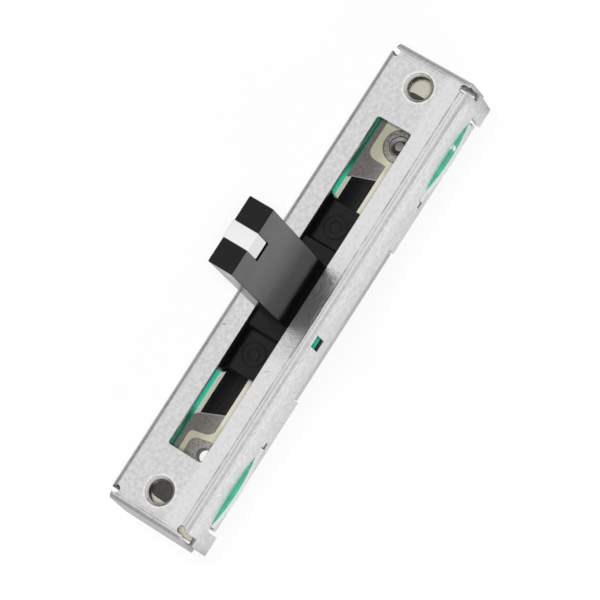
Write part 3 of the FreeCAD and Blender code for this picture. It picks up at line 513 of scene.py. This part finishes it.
rough = minus(tree, spread(tree, grain["Cloud"], 0.35, 0.65, 0.26, 0.33), times(tree, on_plate, 0.08))
pressed = plus(tree, times(tree, dish, -1.0), times(tree, lines, -0.25))
hairlines = place_group(tree, scratch_group, Share=0.64)["Mask"]
normal = soft_edges(tree, 0.08)
for height, depth_mm, strength in (
        (pressed, 0.035, 1.0), (grain["Mask"], 0.03, 0.6),
        (fine_grain["Mask"], 0.014, 0.6), (hairlines, 0.008, 0.5)):
    normal = add_bump(tree, height, depth_mm, strength, normal)
fill_sockets(tree, shader, {"Roughness": rough, "Normal": normal})
dress(steel, "top_frame")

# %% [markdown]
# ## Laminate
# The printed board is laminate. Its face is a warm beige. Where it lies open at the ends
# of the slot it is painted a little olive, as painted shade, and below the fixing holes it
# is painted paler, as painted light that falls in through the holes. Its punched edge is
# a neutral grey in which the layers just show: that is noise pressed flat, many grains to
# the millimetre upwards and few sideways.

# %% Laminate

UNDER_HOLES = (19.6, 20.6)  # from here outwards the board lies below the fixing holes
OPEN_ENDS = (14.1, 19.5)  # where the slot's ends leave it open
FACE_LENGTH, FACE_WIDTH = 25.3, 4.3  # half of its flat face, inside the punched edge

laminate, tree, shader = new_finish("laminate", Roughness=0.5)
x, y, z = place_xyz(tree)
along, across = absolute(tree, x), absolute(tree, y)
grain = place_group(tree, grain_group, Grains_per_mm=5.0, Roughness=0.65)["Mask"]
# Painted shade at the open ends of the slot.
painted_olive_shade = times(tree, spread(tree, along, OPEN_ENDS[0], OPEN_ENDS[0] + 0.8),
                spread(tree, along, OPEN_ENDS[1], OPEN_ENDS[1] - 0.9))
punched = largest(tree, spread(tree, across, FACE_WIDTH, FACE_WIDTH + 0.1),
                  spread(tree, along, FACE_LENGTH, FACE_LENGTH + 0.1))
layers = drawn_out_noise(tree, (0.6, 0.6, 9.0))
edge_colour = blend_colours(tree, layers, (226, 223, 221), (204, 202, 199))
colour = blend_colours(tree, grain, (234, 230, 216), (226, 220, 202))
# Painted light: the board is paler below the fixing holes, where light falls in through them.
colour = lay_over(tree, colour, (250, 244, 226), spread(tree, along, *UNDER_HOLES))
# Painted shade: an olive tint at the open ends of the slot.
colour = lay_over(tree, colour, (200, 197, 160), painted_olive_shade, 0.55)
colour = lay_over(tree, colour, edge_colour, punched)
normal = add_bump(tree, grain, 0.01, 0.5, soft_edges(tree, 0.06))
fill_sockets(tree, shader, {"Base Color": colour, "Normal": normal})
dress(laminate, "circuit_board")

# %% [markdown]
# ## Green lacquer
# Solder lacquer is a glossy green film, so the shader gets a thin clear coat. Towards
# both ends of the slot, beyond the ends of the leads, the green along the rear edge is
# painted darker, as painted shade, with a painted highlight as a pale streak near the
# ends. Inside the frame the green is painted brighter than the lacquer is, to make up
# for the shade there; the ears that stand out of the walls are in full light and get a
# duller green, and one chip there shows the laminate. Each of these is one more layer
# through a mask.

# %% Lacquer: where it changes

LEAD_NEAR_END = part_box("electrode_near")[1][0] / MM
LEAD_FAR_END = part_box("electrode_far")[0][0] / MM
STREAK_Y = 3.42
CHIP = (20.3, -4.78)

lacquer, tree, shader = new_finish(
    "green_lacquer", Roughness=0.2, Coat_Weight=0.5, Coat_Roughness=0.1)
x, y, z = place_xyz(tree)
along, across = absolute(tree, x), absolute(tree, y)
grain = place_group(tree, grain_group, Grains_per_mm=1.6, Roughness=0.5)["Mask"]
beside_leads = largest(tree, spread(tree, x, LEAD_NEAR_END - 0.2, LEAD_NEAR_END - 2.0),
                       spread(tree, x, LEAD_FAR_END - 0.6, LEAD_FAR_END + 1.9))
# Painted shade towards both ends of the slot.
painted_end_shade = times(tree, beside_leads, spread(tree, y, 2.9, 3.1), spread(tree, y, 4.4, 4.3))
# Painted highlight: a pale streak near the ends of the slot.
painted_streak = times(tree, band(tree, y, STREAK_Y, 0.1), painted_end_shade, spread(tree, along, 15.5, 17.0))
ears_in_full_light = times(tree, spread(tree, across, 4.4, 4.6), spread(tree, grain, 0.35, 0.65, 0.7, 1.0))
chip = slanted_mark(tree, x, y, CHIP, 0.9, 0.3, 0.24)
print("leads end at", round(LEAD_NEAR_END, 2), "and", round(LEAD_FAR_END, 2), "mm")

# %% [markdown]
# ### Colour of the lacquer
# The ground is a fresh blue-green, painted brighter than the lacquer is to make up for
# the shade inside the frame, and a wide, soft grain carries it between two levels,
# because the film is never equally thick. Its relief stays very small: lacquer levels
# itself before it hardens.

# %% Lacquer: colour and relief

colour = blend_colours(tree, grain, (46, 226, 184), (70, 238, 204))
# Painted shade: darker green towards both ends of the slot.
colour = lay_over(tree, colour, (18, 118, 86), painted_end_shade)
# Painted highlight: a pale streak near the ends.
colour = lay_over(tree, colour, (112, 200, 164), painted_streak, 0.7)
# Painted light: the ears are in full light, so they lose the brightening that makes up for the shade
# inside the frame.
colour = lay_over(tree, colour, (70, 176, 144), ears_in_full_light)
colour = lay_over(tree, colour, (240, 238, 232), spread(tree, chip, 0.1, 0.35))
fill_sockets(tree, shader, {"Base Color": colour, "Normal": add_bump(tree, grain, 0.012, 0.5)})
dress(lacquer, "mask_rear", "mask_front", "mask_underside")

# %% [markdown]
# ## Carbon print
# Carbon ink dries nearly black and satin. The brush has left faint lines along its
# way, which are the shared scratches with a slower rhythm, a shade lighter than the
# ink. They are laid on weakly, because the track is hardly worn.

# %% Carbon print

carbon, tree, shader = new_finish("carbon_print", Roughness=0.4)
grain = place_group(tree, grain_group, Grains_per_mm=8.0, Roughness=0.6)["Mask"]
runs = place_group(tree, scratch_group, Along_per_mm=0.08, Across_per_mm=6.0, Share=0.5)["Mask"]
colour = blend_colours(tree, grain, (13, 13, 14), (20, 20, 21))
colour = lay_over(tree, colour, (44, 44, 44), runs, 0.3)
fill_sockets(tree, shader, {"Base Color": colour, "Normal": add_bump(tree, grain, 0.004, 0.5)})
dress(carbon, "carbon_track", "collector_track")

# %% [markdown]
# ## Silver prints
# Silver paste dries to a dull warm grey, only partly metallic. Along the slanted ends of
# the track, where it runs over the carbon, a pale rim is a painted highlight, and a dark
# rim round the far pad is painted shade. Both rims are bands along a known line or circle.

# %% Silver: painted rims of the print

TRACK_OUTER, TRACK_INNER = 2.6, 0.2  # y of the track's two long edges
SLANTED_ENDS = [(-14.4, -13.4), (12.9, 13.7)]  # x where they end, outer edge first
FAR_PAD_X, FAR_PAD_RADIUS = 17.75, 1.75


def painted_rims(tree, x, y):
    """Masks of the painted highlight along the track's slanted ends and the painted shade round the far
    pad.

    A slanted end runs from outer_x at the track's outer edge to inner_x at its inner
    edge, so it lies at outer_x + lean (outer edge - y).
    """
    masks = []
    for outer_x, inner_x in SLANTED_ENDS:
        lean = (inner_x - outer_x) / (TRACK_OUTER - TRACK_INNER)
        end_x = plus(tree, outer_x + lean * TRACK_OUTER, times(tree, y, -lean))
        masks.append(band(tree, minus(tree, x, end_x), np.sign(outer_x) * 0.06, 0.11))
    pale = times(tree, largest(tree, *masks), spread(tree, y, TRACK_OUTER + 0.15, TRACK_OUTER))
    dark = band(tree, reach(tree, x, y, FAR_PAD_X), FAR_PAD_RADIUS - 0.03, 0.13)
    return pale, dark


print(len(SLANTED_ENDS), "slanted ends and a pad of", FAR_PAD_RADIUS, "mm")

# %% [markdown]
# ### Two kinds of silver
# The leads are printed fine; the pads round the open hole and the far rivet are
# coarser and pitted. Everything else is the same, also the painted shade below the fixing
# holes, so one function makes both and takes the greys and the pitting.

# %% Silver prints


def make_silver(name, dark, light, pitting):
    """Dull silver ink: two greys in a fine grain, with pits where it is coarse."""
    material, tree, shader = new_finish(name, Metallic=0.25, Roughness=0.48)
    x, y, z = place_xyz(tree)
    painted_rim_highlight, painted_dark_rim = painted_rims(tree, x, y)
    grain = place_group(tree, grain_group, Grains_per_mm=5.5, Roughness=0.75)["Mask"]
    pits = place_group(tree, pit_group, Pits_per_mm=3.2, Size=0.3)["Mask"]
    painted_shade_under_holes = spread(tree, absolute(tree, x), *UNDER_HOLES)
    colour = blend_colours(tree, spread(tree, grain, 0.36, 0.64), dark, light)
    colour = lay_over(tree, colour, (82, 80, 78), pits, pitting)
    # Painted shade: the silver is darker below the fixing holes.
    colour = lay_over(tree, colour, (84, 83, 76), painted_shade_under_holes, 0.7)
    # Painted highlight along the slanted ends, and painted shade round the far pad.
    colour = lay_over(tree, colour, (196, 193, 190), painted_rim_highlight, 0.8)
    colour = lay_over(tree, colour, (92, 88, 80), painted_dark_rim, 0.85)
    fill_sockets(tree, shader, {"Base Color": colour, "Normal": add_bump(tree, grain, 0.012, 0.6)})
    return material


silver = make_silver("silver_print", (126, 122, 120), (156, 151, 148), 0.15)
coarse_silver = make_silver("coarse_silver", (126, 122, 119), (196, 191, 187), 0.85)
dress(silver, "electrode_near", "electrode_far", "hole_plating")
dress(coarse_silver, "collector_pad_near", "collector_pad_far")

# %% [markdown]
# ## Tin and contact metal
# Eyelets, lands and solder pins are tinned, bright and a little cloudy. The brush is
# a strip of warm sprung contact metal with its rolling lines along its fingers. They
# differ only in colour, gloss and how many lines show, so one function makes both.

# %% Tin and contact metal


def make_metal(name, dark, light, roughness, share):
    """Small metal stamping: cloudy colour, fine grain and rolling lines."""
    material, tree, shader = new_finish(name, Metallic=1.0)
    grain = place_group(tree, grain_group, Grains_per_mm=5.0, Roughness=0.6)
    lines = place_group(tree, scratch_group, Share=share)["Mask"]
    colour = blend_colours(tree, grain["Mask"], dark, light)
    rough = spread(tree, grain["Cloud"], 0.3, 0.7, roughness - 0.05, roughness + 0.06)
    normal = add_bump(tree, grain["Mask"], 0.008, 0.5, soft_edges(tree, 0.05))
    normal = add_bump(tree, lines, 0.004, 0.5, normal)
    fill_sockets(tree, shader, {"Base Color": colour, "Roughness": rough, "Normal": normal})
    return material


tin = make_metal("tinned_metal", (176, 174, 170), (206, 204, 200), 0.34, 0.62)
spring = make_metal("contact_metal", (196, 176, 132), (220, 202, 158), 0.28, 0.55)
dress(tin, "lands_underside", "terminal_near", "terminal_far", "terminal_wiper")
dress(spring, "wiper_brush")

# %% [markdown]
# ## Black moulding
# The slider and its tall lever are one satin black moulding. It looks grey from
# above, but that isn't its colour: its faces mirror the bright floor at a flat angle.
# So the colour stays almost black, and the gloss makes the grey, with half of the
# usual mirroring (Specular Tint). Handling has left a few faint hairlines.

# %% Black moulding

black, tree, shader = new_finish("black_moulding", IOR=1.5, Specular_Tint=(0.5, 0.5, 0.5, 1.0))
grain = place_group(tree, grain_group, Grains_per_mm=4.0, Roughness=0.55)
scuffs = place_group(tree, scratch_group, Along_per_mm=0.8, Across_per_mm=0.9, Share=0.6)["Mask"]
colour = blend_colours(tree, grain["Mask"], (8, 8, 9), (13, 13, 14))
colour = lay_over(tree, colour, (46, 46, 47), scuffs, 0.15)
rough = spread(tree, grain["Cloud"], 0.3, 0.7, 0.17, 0.24)
normal = add_bump(tree, grain["Mask"], 0.004, 0.5, soft_edges(tree, 0.08))
fill_sockets(tree, shader, {"Base Color": colour, "Roughness": rough, "Normal": normal})
dress(black, "slider")

# %% [markdown]
# ## White moulding
# The index is moulded on its own in a smooth white and pushed into a groove of the
# lever. White plastic is never as bright as paper, so its two greys stay well under
# 255 and leave the light room to shape its faces.

# %% White moulding

white, tree, shader = new_finish("white_moulding", Roughness=0.42)
grain = place_group(tree, grain_group, Grains_per_mm=2.5, Roughness=0.5)["Mask"]
colour = blend_colours(tree, grain, (216, 216, 217), (209, 209, 210))
normal = add_bump(tree, grain, 0.004, 0.4, soft_edges(tree, 0.05))
fill_sockets(tree, shader, {"Base Color": colour, "Normal": normal})
dress(white, "index_mark")

# %% [markdown]
# ## Rounded index
# The insert comes out of its mould with soft edges, so its corners fade into its
# faces and a fine dark gap shows round it. Soft normals can't change an outline, and
# this one is seen against black, so the edges are really rounded. The piece starts
# from the solid's own faces: doubled points are joined, flat triangles become whole
# faces, and a Bevel modifier rounds what is left.

# %% Rounded index

INDEX_ROUNDING = 0.16


def rounded_copy(node_name, new_name, rounding_mm, body):
    """Copy of a solid whose sharp edges are rounded by a modifier."""
    mesh = nodes[node_name].data.copy()
    mesh.name = new_name
    work = bmesh.new()
    work.from_mesh(mesh)
    bmesh.ops.remove_doubles(work, verts=work.verts, dist=1e-7)
    bmesh.ops.dissolve_limit(work, angle_limit=np.radians(1.0), verts=work.verts, edges=work.edges)
    bmesh.ops.recalc_face_normals(work, faces=work.faces)
    work.to_mesh(mesh)
    work.free()
    mesh.polygons.foreach_set("use_smooth", np.ones(len(mesh.polygons), bool))
    piece = bpy.data.objects.new(new_name, mesh)
    bpy.context.scene.collection.objects.link(piece)
    edges = piece.modifiers.new("round_edges", "BEVEL")
    edges.width = rounding_mm * MM
    edges.segments = 4
    edges.limit_method = "ANGLE"
    edges.angle_limit = np.radians(35)
    edges.harden_normals = True
    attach(piece, body)
    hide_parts(node_name)
    print(new_name, len(mesh.polygons), "faces before rounding")


rounded_copy("index_mark", "rounded_index", INDEX_ROUNDING, "carriage")

# %% [markdown]
# ## Turned pieces
# A rivet and a thread are both turned: a closed outline carried round an upright
# axis. A Screw modifier could do the rivet, but an array does both, and says it in
# one line. The outline's points and the turns make a grid, which numpy works out in
# one go, and the grid closes in both directions, so there is no seam and no pole.

# %% Grid of a carried outline


def ring_faces(turns, points):
    """Quads of a grid that closes both ways: turn t, point p joins t + 1 and p + 1."""
    t, p = np.meshgrid(np.arange(turns), np.arange(points), indexing="ij")
    after_t, after_p = (t + 1) % turns, (p + 1) % points
    return np.stack([t * points + p, after_t * points + p, after_t * points + after_p,
                     t * points + after_p], axis=-1).reshape(-1, 4)


def add_piece(name, points_mm, faces, material, body):
    """Put points and quads into a mesh that rides on a body."""
    mesh = bpy.data.meshes.new(name)
    mesh.from_pydata((points_mm * MM).tolist(), [], faces.tolist())
    mesh.polygons.foreach_set("use_smooth", np.ones(len(faces), bool))
    mesh.set_sharp_from_angle(angle=np.radians(40))
    mesh.materials.append(material)
    piece = bpy.data.objects.new(name, mesh)
    bpy.context.scene.collection.objects.link(piece)
    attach(piece, body)
    print(name, len(faces), "faces")
    return piece


# %% [markdown]
# ### Rolled eyelets
# A tubular rivet holds each terminal to the board. Its upper flange is rolled over
# and its lower end is spread, so the outline is a tube with soft rolls at both ends,
# written as points of radius and height. The solid has plain square flanges; these
# catch light on a round rim, as the rivet at the far end of the slot does.

# %% Rolled eyelets

EYELET_OUTLINE = np.array([
    (0.60, 2.10), (0.60, 3.18), (0.62, 3.20), (1.07, 3.20), (1.10, 3.23), (1.10, 3.29), (1.07, 3.33),
    (1.02, 3.355), (0.97, 3.35), (0.90, 3.335), (0.80, 3.30), (0.70, 3.26), (0.60, 3.215), (0.53, 3.17),
    (0.505, 3.10), (0.50, 3.00),
    (0.50, 2.35), (0.52, 2.22), (0.58, 2.10), (0.66, 2.01), (0.75, 1.965), (0.85, 1.952), (0.98, 1.955),
    (1.07, 1.98), (1.10, 2.04), (1.08, 2.085), (0.63, 2.09)])
FLANGE = EYELET_OUTLINE[:, 0].max()
WIPER_EYELET_X = 17.75
low, high = (np.array(corner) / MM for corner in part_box("eyelets"))
eyelet_spots = np.array([
    (-(high[0] - FLANGE), low[1] + FLANGE),
    (high[0] - FLANGE, low[1] + FLANGE),
    (WIPER_EYELET_X, high[1] - FLANGE)])


def turned_rings(outline, spots, turns=64):
    """Carry a closed (radius, height) outline round upright axes.

    Outline point (r, h) at angle a stands at (x + r cos a, y + r sin a, h).
    """
    angle = np.linspace(0.0, 2.0 * np.pi, turns, endpoint=False)[:, None]
    radius, height = outline[:, 0], outline[:, 1]
    ring = np.stack([radius * np.cos(angle), radius * np.sin(angle), height + 0.0 * angle],
                    axis=-1).reshape(-1, 3)
    shifts = np.column_stack([spots, np.zeros(len(spots))])
    points = (ring + shifts[:, None, :]).reshape(-1, 3)
    faces = ring_faces(turns, len(outline))
    return points, np.concatenate([faces + number * len(ring) for number in range(len(spots))])


points, faces = turned_rings(EYELET_OUTLINE, eyelet_spots)
rolled = add_piece("rolled_eyelets", points, faces, tin, "housing")
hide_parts("eyelets")

# %% [markdown]
# ### Threads in the fixing holes
# The drawn collars are tapped. Seen from above, a tapped bore shows as fine rings
# that drift round it. A sweep along a helix would leave two loose ends, so each
# thread is a thin closed sleeve in the plain bore whose inner radius follows a
# triangle wave. The wave moves up by one pitch in each turn, and that is a thread.

# %% Threads in the fixing holes

THREAD_PITCH = 0.5
THREAD_DEPTH = 0.05  # a trace of the real one, because the bore stays clear
SLEEVE_LOW, SLEEVE_HIGH = PLATE_TOP - 1.28, PLATE_TOP - 0.27


def threaded_sleeve(centre_x, turns=96, rows=56):
    """Thin sleeve in a bore with a helical ridge on its inner face.

    At angle a and height h the ridge stands in by the depth times a triangle wave
    of h / pitch - a / (2 pi), so it climbs one pitch in each turn.
    """
    angle = np.linspace(0.0, 2.0 * np.pi, turns, endpoint=False)[:, None]
    height = np.linspace(SLEEVE_HIGH, SLEEVE_LOW, rows)[None, :]
    wave = 1.0 - np.abs(2.0 * ((height / THREAD_PITCH - angle / (2.0 * np.pi)) % 1.0) - 1.0)
    inside = BORE_RADIUS - 0.005 - THREAD_DEPTH * wave
    outside = np.full((turns, 2), BORE_RADIUS + 0.02)
    radius = np.concatenate([inside, outside], axis=1)
    heights = np.concatenate([height + 0.0 * angle,
                              np.broadcast_to([SLEEVE_LOW, SLEEVE_HIGH], (turns, 2))], axis=1)
    points = np.stack([centre_x + radius * np.cos(angle), radius * np.sin(angle), heights], axis=-1)
    return points.reshape(-1, 3), ring_faces(turns, rows + 2)


for label, centre_x in (("near", -HOLE_X), ("far", HOLE_X)):
    points, faces = threaded_sleeve(centre_x)
    add_piece("thread_" + label, points, faces, steel, "housing")

# %% [markdown]
# ## What rays see
# Bright metal shows its surroundings, so the surroundings are half of its finish. A
# studio hangs white paper and cloth where the metal needs them and keeps them out of
# the picture. Here the floor and the world do the same: Light Path tells a ray from
# the camera, which sees plain white, from a mirrored one, which sees the tent.

# %% Helpers for the floor and the world


def start_tree(owner):
    """Switch nodes on for a material or world, and return its empty tree."""
    owner.use_nodes = True
    owner.node_tree.nodes.clear()
    return owner.node_tree


def ray_kinds(tree):
    """1 for rays straight from the camera, and 1 for rays sent on by metal or gloss."""
    rays = add_node(tree, "ShaderNodeLightPath").outputs
    return rays["Is Camera Ray"], largest(tree, rays["Is Glossy Ray"], rays["Is Transmission Ray"])


def blend_numbers(tree, share, one, other):
    """Blend two numbers by a share from 0 to 1."""
    return add_node(tree, "ShaderNodeMix", {0: share, 2: one, 3: other}, data_type="FLOAT").outputs[0]


WHITE = (1.0, 1.0, 1.0, 1.0)

# %% [markdown]
# ## Floor
# The control lies on a wide sheet of white paper. The camera just sees white, but the
# front wall and the lever mirror the sheet, and the glow they see is painted unevenly
# bright: dimmer close to the walls, as a painted shadow of the part, brightest a few
# millimetres away, and dim again further out, behind, and past the ends, as painted
# shade. Each of these is a soft step.

# %% Floor: shape and brightness

FLOOR_HALF = 1.5

floor_mesh = bpy.data.meshes.new("floor")
corners = np.array([(-1, -1, 0), (1, -1, 0), (1, 1, 0), (-1, 1, 0)], float) * FLOOR_HALF
floor_mesh.from_pydata(corners.tolist(), [], [(0, 1, 2, 3)])
floor = bpy.data.objects.new("floor", floor_mesh)
bpy.context.scene.collection.objects.link(floor)

paper = bpy.data.materials.new("paper")
tree = start_tree(paper)
x, y, z = place_xyz(tree)
along, across = absolute(tree, x), absolute(tree, y)
distance = largest(tree, minus(tree, along, HALF_LENGTH), minus(tree, across, HALF_WIDTH))
# Painted shadow and shade in the mirrored glow of the paper.
near_walls = spread(tree, distance, 2.0, 4.0, 0.8, 1.38)
further_out = spread(tree, distance, 6.5, 10.0, 1.0, 0.55)
behind = spread(tree, y, 6.0, 14.0, 1.0, 0.15)
past_ends = spread(tree, along, HALF_LENGTH - 1.5, HALF_LENGTH - 0.3, 1.0, 0.35)
print("floor", 2 * FLOOR_HALF, "m wide")

# %% [markdown]
# ### Paper
# Lit only by lamps the sheet would turn grey towards its edges. So two shaders are
# mixed: a matt white, which takes the soft shadow, and a glow, which is white at
# strength 1. The camera sees mostly glow, mirrors see somewhat less than half of it,
# and diffuse light sees none, so the sheet lights the part only as paper would.

# %% Floor: paper

PAPER_WHITE = (0.86, 0.86, 0.86, 1.0)
GLOW_SHARE_SEEN, GLOW_SHARE_MIRRORED = 0.8, 0.45

seen, mirrored = ray_kinds(tree)
strength = blend_numbers(tree, mirrored, 1.0, times(tree, near_walls, further_out, behind, past_ends))
glow = add_node(tree, "ShaderNodeEmission", {"Color": WHITE, "Strength": strength})
matt = add_node(tree, "ShaderNodeBsdfDiffuse", {"Color": PAPER_WHITE})
share = largest(tree, times(tree, seen, GLOW_SHARE_SEEN), times(tree, mirrored, GLOW_SHARE_MIRRORED))
mixed = add_node(tree, "ShaderNodeMixShader", {0: share, 1: matt.outputs[0], 2: glow.outputs[0]})
add_node(tree, "ShaderNodeOutputMaterial", {0: mixed.outputs[0]})
paper.cycles.emission_sampling = "NONE"
floor_mesh.materials.append(paper)
print("paper with", len(tree.nodes), "nodes")

# %% [markdown]
# ## World
# The world is the tent round the part. Mirrored, it is bright overhead and darker
# low down, most of all at the sides and the back, which gives the upright faces their
# greys. Round the line of sight it has a darker patch, the opening for the lens. The
# front bend mirrors that, and so does the plate as the foot of the lever shows it.
# For diffuse light the tent has one even, low level, which only fills the shadows.
# Nothing in it is small and bright, so rays needn't be aimed at it.

# %% World: a white tent with an opening

TENT_LEVEL, FILL_LEVEL = 0.9, 0.3  # mirrored, and for diffuse light
LOW_LOSS, SIDE_LOSS, BACK_LOSS, OPENING_LOSS = 0.26, 0.2, 0.45, 0.42
OPENING_EDGE, OPENING_CORE = 0.92, 0.985  # cosines of the angle to the line of sight

world = bpy.data.worlds.new("studio")
bpy.context.scene.world = world
tree = start_tree(world)
towards = add_node(tree, "ShaderNodeTexCoord").outputs["Generated"]
x, y, z = add_node(tree, "ShaderNodeSeparateXYZ", {0: towards}).outputs
low_down = spread(tree, z, 0.75, 0.15)
at_side = spread(tree, absolute(tree, x), 0.2, 0.8)
at_back = spread(tree, y, 0.1, 0.8)
line_up = add_node(tree, "ShaderNodeVectorMath", {0: towards, 1: EYE.normalized()},
                   operation="DOT_PRODUCT").outputs["Value"]
opening = spread(tree, line_up, OPENING_EDGE, OPENING_CORE)
low_losses = plus(tree, LOW_LOSS, plus(tree, times(tree, at_side, SIDE_LOSS),
                                       times(tree, at_back, BACK_LOSS)))
losses = plus(tree, times(tree, low_down, low_losses), times(tree, opening, OPENING_LOSS))
tent = minus(tree, TENT_LEVEL, losses)

seen, mirrored = ray_kinds(tree)
level = largest(tree, blend_numbers(tree, mirrored, FILL_LEVEL, tent), seen)
sky = add_node(tree, "ShaderNodeBackground", {"Color": WHITE, "Strength": level})
add_node(tree, "ShaderNodeOutputWorld", {0: sky.outputs[0]})
world.cycles.sampling_method = "NONE"
print("world with", len(tree.nodes), "nodes")

# %% [markdown]
# ## Lamps
# Three soft lamps give the direct light, at a plain level, at which a colour renders
# about as it is written. The small one stands straight behind the camera, so its
# light reaches everything that the camera sees, down in the slot and the holes too.
# The back one opens the deep parts from the other side, and the low one lights the
# upright faces. None of them shows in a reflection, where it would burn a hot spot
# into the metal: what metal mirrors is the tent's work.

# %% Lamps

LAMP_DISTANCE = 0.45


def add_lamp(name, towards, watts, size):
    """Soft square lamp that shines on the part and stays out of its reflections."""
    data = bpy.data.lights.new(name, "AREA")
    data.size = size
    data.energy = watts
    lamp = bpy.data.objects.new(name, data)
    lamp.location = Vector(towards).normalized() * LAMP_DISTANCE
    lamp.rotation_euler = (-lamp.location).to_track_quat("-Z", "Y").to_euler()
    lamp.visible_glossy = False
    bpy.context.scene.collection.objects.link(lamp)
    print(name, watts, "W")


add_lamp("front", EYE, 1.15, 0.05)
add_lamp("back", (0.08, 0.27, 1.0), 0.6, 0.14)
add_lamp("low", (-0.6, -0.8, 0.4), 0.6, 0.2)

# %% [markdown]
# ## View
# Blender's default view softens bright colours, as film does. White plating on white
# paper needs its colours as they are written, so the plain Standard view is set.

# %% View
bpy.context.scene.view_settings.view_transform = "Standard"
print("view", bpy.context.scene.view_settings.view_transform)
